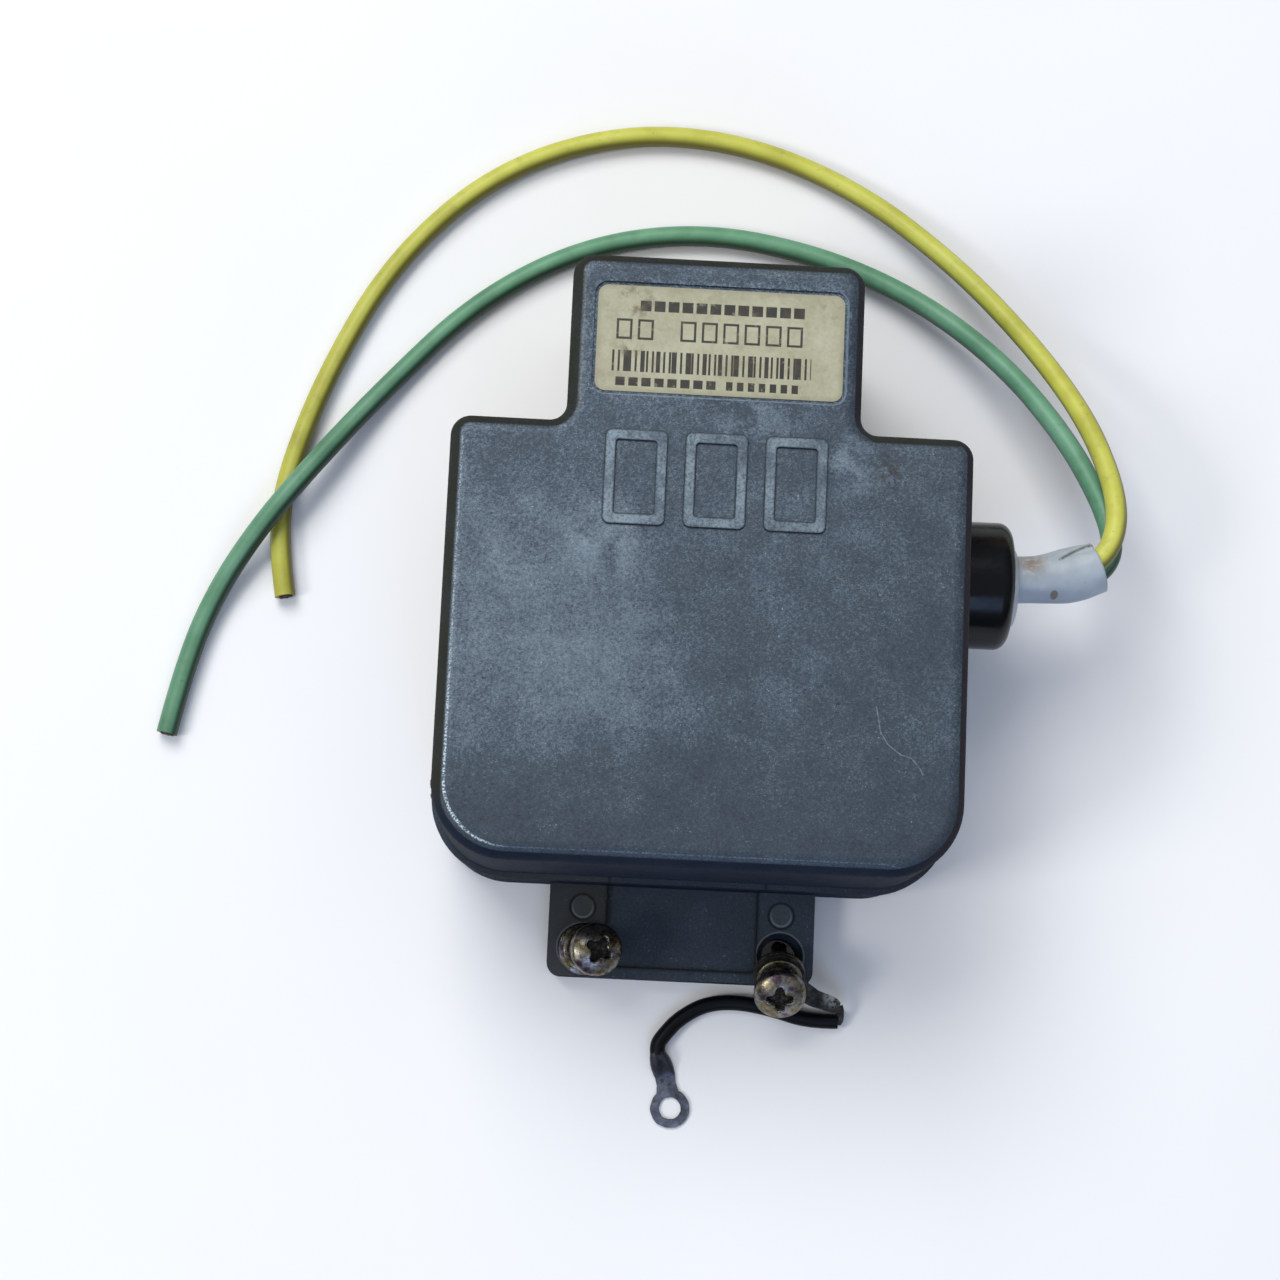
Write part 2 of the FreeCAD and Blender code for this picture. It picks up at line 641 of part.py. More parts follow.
def anode_block():
    """The copper anode: a ring of vanes between two end spaces, with a slot to the output."""
    block = disc_x(-ANODE_HALF, ANODE_HALF, ANODE_RADIUS)
    cavity = disc_x(-VANE_HALF, VANE_HALF, CAVITY_RADIUS)
    step = 360.0 / VANE_COUNT
    vanes = []
    for i in range(VANE_COUNT):
        vane = box(-VANE_HALF, VANE_HALF, AXIS_Y + VANE_TIP_RADIUS, AXIS_Y + END_SPACE_RADIUS,
                   AXIS_Z - VANE_THICKNESS / 2, AXIS_Z + VANE_THICKNESS / 2)
        vane.rotate(Vector(0, AXIS_Y, AXIS_Z), X_AXIS, (i + 0.5) * step)
        vanes.append(vane)
    cavity = cavity.cut(vanes)
    ends = [disc_x(side * VANE_HALF, side * ANODE_HALF, END_SPACE_RADIUS) for side in (LEFT, RIGHT)]
    inner = CAVITY_RADIUS - VANE_THICKNESS
    slot = box(-VANE_HALF, VANE_HALF, AXIS_Y - ANODE_RADIUS, AXIS_Y - inner,
               AXIS_Z - OUTPUT_SLOT / 2, AXIS_Z + OUTPUT_SLOT / 2)
    pump = Part.makeCylinder(EXHAUST_BORE, ANODE_RADIUS - inner,
                             Vector(0, AXIS_Y + inner, AXIS_Z), Y_AXIS)
    return block.cut([cavity] + ends + [slot, pump])


def strap_rings():
    rings = [tube_x(side * VANE_HALF, side * (VANE_HALF + STRAP_THICKNESS), STRAP_OUTER, STRAP_INNER)
             for side in (LEFT, RIGHT)]
    return Part.makeCompound(rings)


def cathode_sleeve():
    return tube_x(-EMITTER_HALF, EMITTER_HALF, EMITTER_RADIUS, EMITTER_BORE)


def cathode_end_hats():
    left = disc_x(-EMITTER_HALF - HAT_THICKNESS, -EMITTER_HALF, HAT_RADIUS)
    right = tube_x(EMITTER_HALF, EMITTER_HALF + HAT_THICKNESS, HAT_RADIUS, STALK_BORE)
    return Part.makeCompound([left, right])


def heater_coil():
    """The folded heater wire inside the emitter, from the left hat to the heater rod."""
    length = 2 * EMITTER_HALF + HAT_THICKNESS - HEATER_WIRE
    step = length / HEATER_STEPS
    half = HEATER_WIRE / 2
    parts = []
    for i in range(HEATER_STEPS):
        x = -EMITTER_HALF + HEATER_WIRE + i * step
        y = AXIS_Y + HEATER_RADIUS * (1 if i % 2 else -1)
        parts.append(box(x - HEATER_WIRE, x + step, y - half, y + half, AXIS_Z - half, AXIS_Z + half))
        parts.append(box(x + step - HEATER_WIRE, x + step, AXIS_Y - HEATER_RADIUS - half,
                         AXIS_Y + HEATER_RADIUS + half, AXIS_Z - half, AXIS_Z + half))
    return fused(parts)


def cathode_stalk():
    return tube_x(EMITTER_HALF + HAT_THICKNESS, STALK_END_X, STALK_RADIUS, STALK_BORE)


def heater_rod():
    start = EMITTER_HALF + HAT_THICKNESS + HEATER_WIRE
    return disc_x(start, ROD_END_X, ROD_RADIUS)


def cathode_insulator():
    return tube_x(POLE_FACE_X, INSULATOR_END_X, INSULATOR_RADIUS, INSULATOR_BORE)


def insulator_cap():
    return tube_x(INSULATOR_END_X, INSULATOR_END_X + CAP_THICKNESS, INSULATOR_RADIUS, STALK_RADIUS)


def exhaust_tube():
    """The copper pumping stem, pinched flat at its end."""
    root = AXIS_Y + ANODE_RADIUS
    base = Vector(0, root - EXHAUST_ROOT, AXIS_Z)
    neck_y = root + EXHAUST_LENGTH - PINCH_LENGTH
    stem = Part.makeCylinder(EXHAUST_RADIUS, neck_y - base.y, base, Y_AXIS)
    round_end = Part.Wire([Part.makeCircle(EXHAUST_RADIUS, Vector(0, neck_y, AXIS_Z), Y_AXIS)])
    flat = Part.Ellipse(Vector(0, root + EXHAUST_LENGTH, AXIS_Z), PINCH_HALF_WIDTH, PINCH_THICKNESS / 2)
    flat.Axis = Y_AXIS
    flat_end = Part.Wire([flat.toShape()])
    pinch = Part.makeLoft([round_end, flat_end], True)
    bore = Part.makeCylinder(EXHAUST_BORE, neck_y - base.y, base, Y_AXIS)
    tube = stem.fuse(pinch).cut(bore)
    return tube.cut(disc_x(-ANODE_HALF, ANODE_HALF, ANODE_RADIUS))


# Microwave output

def section(centre_y, centre_z, tilt, half_x, half_h):
    """A rectangle across the output path. Its normal turns from +Z to +Y with the tilt."""
    angle = math.radians(tilt)
    centre = Vector(0, centre_y, centre_z)
    across = Vector(0, math.cos(angle), -math.sin(angle)) * half_h
    side = X_AXIS * half_x
    corners = [centre - side - across, centre + side - across,
               centre + side + across, centre - side + across]
    return Part.makePolygon(corners + [corners[0]])


def output_transition():
    """The tapered copper elbow from the anode's slot to the port in the rear casting."""
    end_y = AXIS_Y - ANODE_RADIUS + TRANSITION_LAP
    inner = Part.makeLoft([
        section(THROAT_Y, THROAT_TOP_Z, 0, THROAT_HALF_X, THROAT_HALF_Y),
        section(BEND_Y, BEND_Z, 45, BEND_HALF_X, BEND_HALF_Y),
        section(end_y, AXIS_Z, 90, SLOT_HALF_X, SLOT_HALF_Z)], True, True)
    outer = Part.makeLoft([
        section(THROAT_Y, THROAT_TOP_Z, 0, THROAT_HALF_X + TRANSITION_WALL_X,
                THROAT_HALF_Y + TRANSITION_WALL_Y),
        section(BEND_Y, BEND_Z, 45, BEND_HALF_X + TRANSITION_WALL_X,
                BEND_HALF_Y + TRANSITION_WALL_Y),
        section(end_y, AXIS_Z, 90, SLOT_HALF_X + SLOT_WALL, SLOT_HALF_Z + SLOT_WALL)], True, True)
    return outer.cut([inner, disc_x(-ANODE_HALF, ANODE_HALF, ANODE_RADIUS)])


def output_window():
    half_x = GUIDE_BROAD / 2 - WINDOW_CLEARANCE
    half_y = GUIDE_NARROW / 2 - WINDOW_CLEARANCE
    return box(-half_x, half_x, -half_y, half_y, PORT_DEPTH, PORT_TOP_Z)


# High-voltage input

def hv_bushing():
    """The moulded bushing, held by a collar between the two castings."""
    start = WALL_INNER_X - BUSHING_COLLAR_WIDTH
    body = disc_x(start, BUSHING_END_X, BUSHING_RADIUS)
    rim = [e for e in body.Edges if abs(e.BoundBox.XMin - BUSHING_END_X) < 1e-4]
    body = body.makeFillet(BUSHING_ROUND, rim)
    collar = disc_x(start, WALL_INNER_X, BUSHING_COLLAR)
    return body.fuse(collar).cut(disc_x(start, BUSHING_END_X, BUSHING_BORE))


def potting_bead():
    """White silicone that fills the bushing's mouth and stands a little proud of it."""
    profile = [(POTTING_START_X, 0), (POTTING_START_X, BUSHING_BORE),
               (BUSHING_END_X, BUSHING_BORE), (BUSHING_END_X, POTTING_LIP),
               (BUSHING_END_X + POTTING_LIP_HEIGHT, POTTING_LIP),
               (POTTING_FACE_X - POTTING_ROUND, POTTING_SHOULDER),
               (POTTING_FACE_X, POTTING_FACE_RADIUS), (POTTING_FACE_X, 0)]
    return about_axis(profile)


def lead_sleeve():
    outer = tube_along("lead_sleeve outer", SLEEVE_ROUTE, SLEEVE_RADIUS)
    inner = tube_along("lead_sleeve inner", SLEEVE_ROUTE, SLEEVE_RADIUS - SLEEVE_WALL)
    return outer.cut(inner)


# Captive screws and the earth connection

def captive_screw():
    """A pan-head screw standing on its plain point, head up."""
    top_z = SCREW_LENGTH + HEAD_HEIGHT
    point = disc_z(0, 0, 0, SCREW_POINT_LENGTH, SCREW_POINT / 2)
    shank = disc_z(0, 0, SCREW_POINT_LENGTH, SCREW_LENGTH, SCREW_DIAMETER / 2)
    head = disc_z(0, 0, SCREW_LENGTH, top_z, HEAD_DIAMETER / 2)
    crown_radius = ((HEAD_DIAMETER / 2) ** 2 + HEAD_CROWN ** 2) / (2 * HEAD_CROWN)
    head = head.common(Part.makeSphere(crown_radius, Vector(0, 0, top_z - crown_radius)))
    arm = Part.makeBox(RECESS_SPAN, RECESS_ARM, RECESS_DEPTH,
                       Vector(-RECESS_SPAN / 2, -RECESS_ARM / 2, top_z - RECESS_DEPTH))
    cross = arm.copy()
    cross.rotate(Vector(0, 0, 0), Z_AXIS, 90)
    return fused([point, shank, head]).cut(fused([arm, cross]))


def ring_on_shank(outer, inner, at, thickness):
    return disc_z(0, 0, at, at + thickness, outer / 2).cut(disc_z(0, 0, at, at + thickness, inner / 2))


def spring_washer(at):
    ring = ring_on_shank(SPRING_OUTER, SPRING_INNER, at, SPRING_THICKNESS)
    slit = Part.makeBox(SPRING_OUTER, SPRING_SLIT, SPRING_THICKNESS, Vector(0, -SPRING_SLIT / 2, at))
    return ring.cut(slit)


def earth_lug():
    """A tinned tag under the right screw's washers, with its tongue bent down to the lead."""
    at = RIGHT_WASHER_AT + WASHER_THICKNESS
    ring = on_axis(ring_on_shank(2 * LUG_RING_RADIUS, WASHER_INNER, at, LUG_THICKNESS),
                   RIGHT_TIP, RIGHT_AIM)
    aim = Vector(*RIGHT_AIM)
    aim.normalize()
    centre = Vector(*RIGHT_TIP) + aim * at
    barrel_centre = Vector(*EARTH_ROUTE[0])
    along = barrel_centre - Vector(*EARTH_ROUTE[1])
    along.normalize()
    target = barrel_centre + along * LUG_BARREL_LENGTH
    outward = target - centre
    outward = outward - aim * outward.dot(aim)
    outward.normalize()
    root = centre + outward * (LUG_RING_RADIUS - LUG_TONGUE_OVERLAP)
    across = aim.cross(outward)
    knee = centre + outward * (LUG_RING_RADIUS + LUG_TONGUE_REACH)
    tip = target + Z_AXIS * LUG_BARREL_RADIUS
    edge = [p + across * LUG_TONGUE_HALF for p in (root, knee)]
    back = [p - across * LUG_TONGUE_HALF for p in (knee, root)]
    flat = Part.Face(Part.makePolygon(edge + back + [edge[0]])).extrude(aim * LUG_THICKNESS)
    slope = tip - knee
    slope.normalize()
    normal = slope.cross(across)
    if normal.dot(aim) < 0:
        normal = normal * -1
    above = knee - slope * LUG_BEND_OVERLAP
    quad = [above + across * LUG_TONGUE_HALF, tip + across * LUG_TIP_HALF,
            tip - across * LUG_TIP_HALF, above - across * LUG_TONGUE_HALF]
    down = Part.Face(Part.makePolygon(quad + [quad[0]])).extrude(normal * LUG_THICKNESS)
    barrel = Part.makeCylinder(LUG_BARREL_RADIUS, LUG_BARREL_LENGTH, barrel_centre, along)
    lead = Part.makeCylinder(EARTH_DIAMETER / 2, LEAD_REACH, barrel_centre, along * -1)
    return fused([ring, flat, down, barrel]).cut(lead)


def ring_terminal():
    """A flat ring on a tongue, with a closed barrel crimped over the end of the earth lead."""
    x, y = TERMINAL_CENTRE
    end = Vector(*EARTH_ROUTE[-1])
    along = end - Vector(*EARTH_ROUTE[-2])
    along.normalize()
    barrel = Part.makeCylinder(TERMINAL_BARREL_RADIUS, TERMINAL_BARREL_LENGTH, end, along)
    far = end + along * (TERMINAL_BARREL_LENGTH - TERMINAL_BARREL_LAP)
    ring = disc_z(x, y, 0, TERMINAL_THICKNESS, TERMINAL_RADIUS)
    root = Vector(far.x, far.y, 0)
    outward = Vector(x, y, 0) - root
    outward.normalize()
    across = Z_AXIS.cross(outward) * TERMINAL_TONGUE_HALF
    middle = Vector(x, y, 0)
    wide = across * TERMINAL_ROOT_SHARE
    quad = [root + wide, root - wide, middle - across, middle + across]
    tongue = Part.Face(Part.makePolygon(quad + [quad[0]])).extrude(Z_AXIS * TERMINAL_THICKNESS)
    terminal = fused([barrel, ring, tongue])
    reach = (end - middle).Length + TERMINAL_RADIUS
    below = box(x - reach, x + reach, y - reach, y + reach, -reach, 0)
    return terminal.cut([disc_z(x, y, 0, TERMINAL_THICKNESS, TERMINAL_HOLE / 2), below])


def build():
    screw = captive_screw()
    left_at = LEFT_WASHER_AT
    right_at = RIGHT_WASHER_AT
    stack_top = right_at + WASHER_THICKNESS + LUG_THICKNESS
    washer_left = ring_on_shank(WASHER_OUTER, WASHER_INNER, left_at, WASHER_THICKNESS)
    washer_right = ring_on_shank(WASHER_OUTER, WASHER_INNER, right_at, WASHER_THICKNESS)
    return {
        "front_cover": front_cover(),
        "rear_housing": rear_housing(),
        "name_label": name_label(),
        "cover_screws": cover_screws(),
        "yoke_screws": yoke_screws(),
        "return_yoke": return_yoke(),
        "magnet_left": magnet(LEFT),
        "magnet_right": magnet(RIGHT),
        "pole_piece_left": pole_piece(LEFT),
        "pole_piece_right": pole_piece(RIGHT),
        "anode_block": anode_block(),
        "strap_rings": strap_rings(),
        "cathode_sleeve": cathode_sleeve(),
        "cathode_end_hats": cathode_end_hats(),
        "heater_coil": heater_coil(),
        "cathode_stalk": cathode_stalk(),
        "heater_rod": heater_rod(),
        "cathode_insulator": cathode_insulator(),
        "insulator_cap": insulator_cap(),
        "exhaust_tube": exhaust_tube(),
        "output_transition": output_transition(),
        "output_window": output_window(),
        "hv_bushing": hv_bushing(),
        "potting_bead": potting_bead(),
        "lead_sleeve": lead_sleeve(),
        "yellow_lead": tube_along("yellow_lead", YELLOW_ROUTE, LEAD_DIAMETER / 2),
        "green_lead": tube_along("green_lead", GREEN_ROUTE, LEAD_DIAMETER / 2),
        "captive_screw_left": on_axis(screw, LEFT_TIP, LEFT_AIM),
        "captive_screw_right": on_axis(screw, RIGHT_TIP, RIGHT_AIM),
        "plain_washer_left": on_axis(washer_left, LEFT_TIP, LEFT_AIM),
        "plain_washer_right": on_axis(washer_right, RIGHT_TIP, RIGHT_AIM),
        "spring_washer_left": on_axis(spring_washer(left_at + WASHER_THICKNESS), LEFT_TIP, LEFT_AIM),
        "spring_washer_right": on_axis(spring_washer(stack_top), RIGHT_TIP, RIGHT_AIM),
        "earth_lug": earth_lug(),
        "earth_lead": tube_along("earth_lead", EARTH_ROUTE, EARTH_DIAMETER / 2),
        "ring_terminal": ring_terminal(),
    }


os.makedirs("parts", exist_ok=True)
for node, shape in build().items():
    shape.exportStep(os.path.join("parts", node + ".step"))
    print(node, "solids", len(shape.Solids), "valid", shape.isValid(), "volume %.1f" % shape.Volume)
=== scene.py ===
from math import cos, exp, pi, radians, sin, sqrt

import bpy
from mathutils import Matrix, Vector, noise

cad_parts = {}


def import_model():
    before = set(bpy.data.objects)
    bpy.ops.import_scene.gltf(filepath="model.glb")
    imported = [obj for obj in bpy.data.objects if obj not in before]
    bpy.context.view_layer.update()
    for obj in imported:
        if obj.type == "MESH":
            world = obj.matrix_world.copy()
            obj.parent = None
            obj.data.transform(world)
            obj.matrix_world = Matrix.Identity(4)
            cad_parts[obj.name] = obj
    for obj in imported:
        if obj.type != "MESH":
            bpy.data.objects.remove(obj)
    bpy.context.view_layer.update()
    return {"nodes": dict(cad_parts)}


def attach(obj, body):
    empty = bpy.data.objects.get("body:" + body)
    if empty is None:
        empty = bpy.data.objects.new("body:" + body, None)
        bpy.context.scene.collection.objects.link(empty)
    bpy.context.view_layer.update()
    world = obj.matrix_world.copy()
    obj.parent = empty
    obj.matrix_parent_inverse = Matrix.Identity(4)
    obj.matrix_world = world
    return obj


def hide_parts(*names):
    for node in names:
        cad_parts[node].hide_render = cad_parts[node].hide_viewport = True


# Sizes and places below are in millimetres in the part's frame, and MM turns them into metres.
MM = 0.001

# Camera, with its angles in radians
IMAGE_SIDE = 1280
FOCAL_PIXELS = 2848.5
SENSOR = 36.0
CAMERA_PLACE = (-18.47, -41.16, 450.0)
CAMERA_PITCH = 0.16421
CAMERA_YAW = -0.02248
CAMERA_ROLL = 0.04558

# Housing features that the materials follow
FACE_Z = 46.0
SEAM_Z = 22.0
SEAM_LEFT_X = -39.0
FLANGE_TOP = 5.5
LABEL_CENTRE = (0.4, 70.5)
LABEL_HALF = (18.15, 8.0)
LABEL_LEFT = LABEL_CENTRE[0] - LABEL_HALF[0]
LABEL_TOP = LABEL_CENTRE[1] + LABEL_HALF[1]
LABEL_RECESS_MARGIN = 0.5
PAD_CENTRES = [(-11.2, 49.7), (0.5, 49.7), (12.2, 49.7)]
PAD_HALF = (4.5, 7.0)
PAD_STROKE = 1.5
PANEL_HALF = 11.8
PANEL_LOW_Y = -19.1
PIN_MARK_X = 15.5
PIN_MARK_Y = -10.0
PIN_MARK_RADIUS = 2.0
CAPTIVE_HOLE_Y = -16.26
CAPTIVE_RIM = 3.75

# Rows of blocks on the label: start and end from its left, place below its top, height, pitch,
# filled share and shift
LABEL_BOXES = (2.8, 31.0, 6.6, 3.1, 3.13, 0.74, 0.0)
LABEL_BOX_HOLES = (2.8, 31.0, 6.6, 2.4, 3.13, 0.52, -0.34)
LABEL_ROWS = [
    (6.2, 30.7, 3.0, 1.6, 2.05, 0.78, 0.0),
    (2.4, 31.6, 11.4, 3.2, 0.83, 0.38, 0.0),
    (2.4, 31.6, 11.4, 3.2, 2.27, 0.27, 0.4),
    (3.0, 18.0, 14.5, 1.3, 1.9, 0.72, 0.0),
    (19.2, 30.2, 14.5, 1.3, 1.6, 0.6, 0.0),
]
LABEL_GAP = (8.8, 12.1)

# High-voltage side
AXIS_Y = 40.8
AXIS_Z = 22.0

# Silicone in the bushing's mouth, as (x, radius, radius where it has smeared over the rim)
POTTING_PROFILE = [
    (40.2, 7.1, 7.1), (46.7, 7.1, 7.1), (47.05, 6.9, 7.8), (47.4, 6.4, 7.7), (47.75, 5.9, 7.0),
    (48.05, 5.2, 6.1), (48.25, 4.1, 4.9), (48.35, 2.5, 3.0), (48.4, 0.5, 0.5),
]

# Leads
LEAD_DIAMETER = 3.3
CONDUCTOR_RADIUS = 1.0
STRAND_COUNT = 19
YELLOW_ROUTE = [
    (48.3, 41.9, 23.7), (54.7, 41.9, 23.7), (61.4, 45.2, 23.8), (63.8, 50.8, 23.2),
    (63.3, 58.5, 20.8), (59.5, 70.0, 16.0), (51.5, 83.0, 10.4), (39.5, 97.0, 5.4),
    (23.5, 109.8, 2.0), (4.0, 117.0, 1.7), (-16.0, 117.2, 1.7), (-35.5, 109.5, 1.7),
    (-51.0, 94.0, 1.7), (-60.8, 74.5, 1.7), (-66.6, 56.0, 1.7), (-66.8, 45.5, 1.7),
    (-65.2, 37.4, 1.7),
]
GREEN_ROUTE = [
    (48.3, 41.1, 20.3), (54.7, 41.1, 20.3), (61.7, 43.7, 20.2), (64.0, 48.1, 19.8),
    (62.2, 55.5, 18.2), (56.6, 67.5, 13.6), (47.0, 80.5, 8.2), (33.5, 91.5, 3.8),
    (17.0, 98.6, 1.7), (-2.0, 101.2, 1.7), (-20.5, 97.6, 1.7), (-37.5, 87.5, 1.7),
    (-52.0, 71.5, 2.0), (-62.4, 57.6, 5.5), (-69.6, 47.8, 5.5), (-76.2, 37.5, 2.0),
    (-80.2, 26.0, 1.7), (-82.4, 14.5, 1.7),
]
EARTH_DIAMETER = 2.4
EARTH_ROUTE = [
    (25.2, -25.7, 1.5), (20.5, -25.9, 1.3), (14.8, -24.2, 1.2), (9.0, -23.4, 1.2),
    (4.3, -24.0, 1.2), (0.3, -26.5, 1.2), (-1.8, -29.0, 1.4), (-3.0, -30.8, 1.5),
    (-2.6, -32.3, 1.6),
]

# Sleeve over the leads
SLEEVE_ROUTE = [(47.8, 42.0, 22.0), (54.7, 42.0, 22.0), (60.9, 44.6, 22.0)]
SLEEVE_WALL = 0.45
SLEEVE_COLUMNS = 64

# Captive screws and what lies on them
LEFT_TIP = (-16.8, -16.2, 0.6)
LEFT_AIM = (3.8, -0.8, 13.9)
RIGHT_TIP = (15.6, -14.5, 0.85)
RIGHT_AIM = (-0.4, -8.0, 11.5)
LEFT_WASHER_AT = 6.2
RIGHT_WASHER_AT = 7.7
SCREW_POINT_RADIUS = 1.25
SCREW_POINT_LENGTH = 7.2
SCREW_RADIUS = 1.95
SCREW_LENGTH = 12.9
HEAD_RADIUS = 4.0
HEAD_HEIGHT = 2.9
HEAD_CROWN = 1.5
THREAD_PITCH = 0.7
THREAD_DEPTH = 0.3
WASHER_OUTER = 4.0
WASHER_INNER = 2.15
WASHER_THICKNESS = 0.8
SPRING_OUTER = 3.5
SPRING_INNER = 2.05
SPRING_THICKNESS = 1.0
LUG_THICKNESS = 0.5
LUG_RADIUS = 4.0
BROKEN_EDGE = 0.08
RECESS_ROWS = 3
LEFT_RECESS_TURN = radians(-28)
RIGHT_RECESS_TURN = radians(4)

# Ring terminal
TERMINAL_CENTRE = (-0.4, -40.3)
TERMINAL_RADIUS = 3.05
TERMINAL_HOLE_RADIUS = 1.7
TERMINAL_THICKNESS = 0.6

# Small marks on the cover, as (x, y) points
SCRATCH = [
    (25.0, 17.8), (25.7, 14.1), (26.8, 12.4), (28.7, 11.0), (30.2, 10.6), (31.4, 9.3), (31.9, 8.3),
]
DARK_SCRATCH = [(13.2, 4.6), (17.5, 3.9), (21.5, 3.3)]
SCRATCH_WIDTH = 0.13

# Sealant crumbs in the seam, as (y, size)
SEALANT_CRUMBS = [(8.2, 0.35), (7.2, 0.5), (6.3, 0.6), (5.4, 0.45), (4.6, 0.35), (9.3, 0.3)]

# Light and floor, in metres and watts. A lamp has a name, place, side, power and colour.
LAMPS = [
    ("key_lamp", (-0.5, 0.9, 1.4), 1.0, 19, (1.0, 0.99, 0.97)),
    ("left_lamp", (-1.0, -0.35, 1.05), 0.35, 5.5, (1.0, 0.98, 0.94)),
    ("front_lamp", (0.1, -0.95, 1.05), 0.6, 3.5, (0.36, 0.54, 1.0)),
]
LAMP_TARGET = (0, 0.04, 0.02)
SKY_LOW = (0.10, 0.10, 0.10, 1)
SKY_HIGH = (0.50, 0.52, 0.55, 1)
FLOOR_LIGHT = (241.05, 241.62, 242.19)
FLOOR_DARK = (238.61, 239.20, 239.78)
FLOOR_HALF = 12.0

TURN = 2 * pi


def rgb(red, green, blue):
    """A linear colour from 0 to 255 display values."""
    def linear(value):
        share = value / 255
        return share / 12.92 if share <= 0.04045 else ((share + 0.055) / 1.055) ** 2.4
    return (linear(red), linear(green), linear(blue), 1.0)


def smooth(low, high, value):
    """0 below low, 1 above high and an even ease between."""
    share = min(max((value - low) / (high - low), 0.0), 1.0)
    return share * share * (3 - 2 * share)


def wobble(point, size, seed):
    """Smooth noise from -1 to 1 at a point, with lumps of about the given size."""
    return noise.noise(Vector(point) / size + Vector((seed, seed * 1.7, -seed)))


# Materials

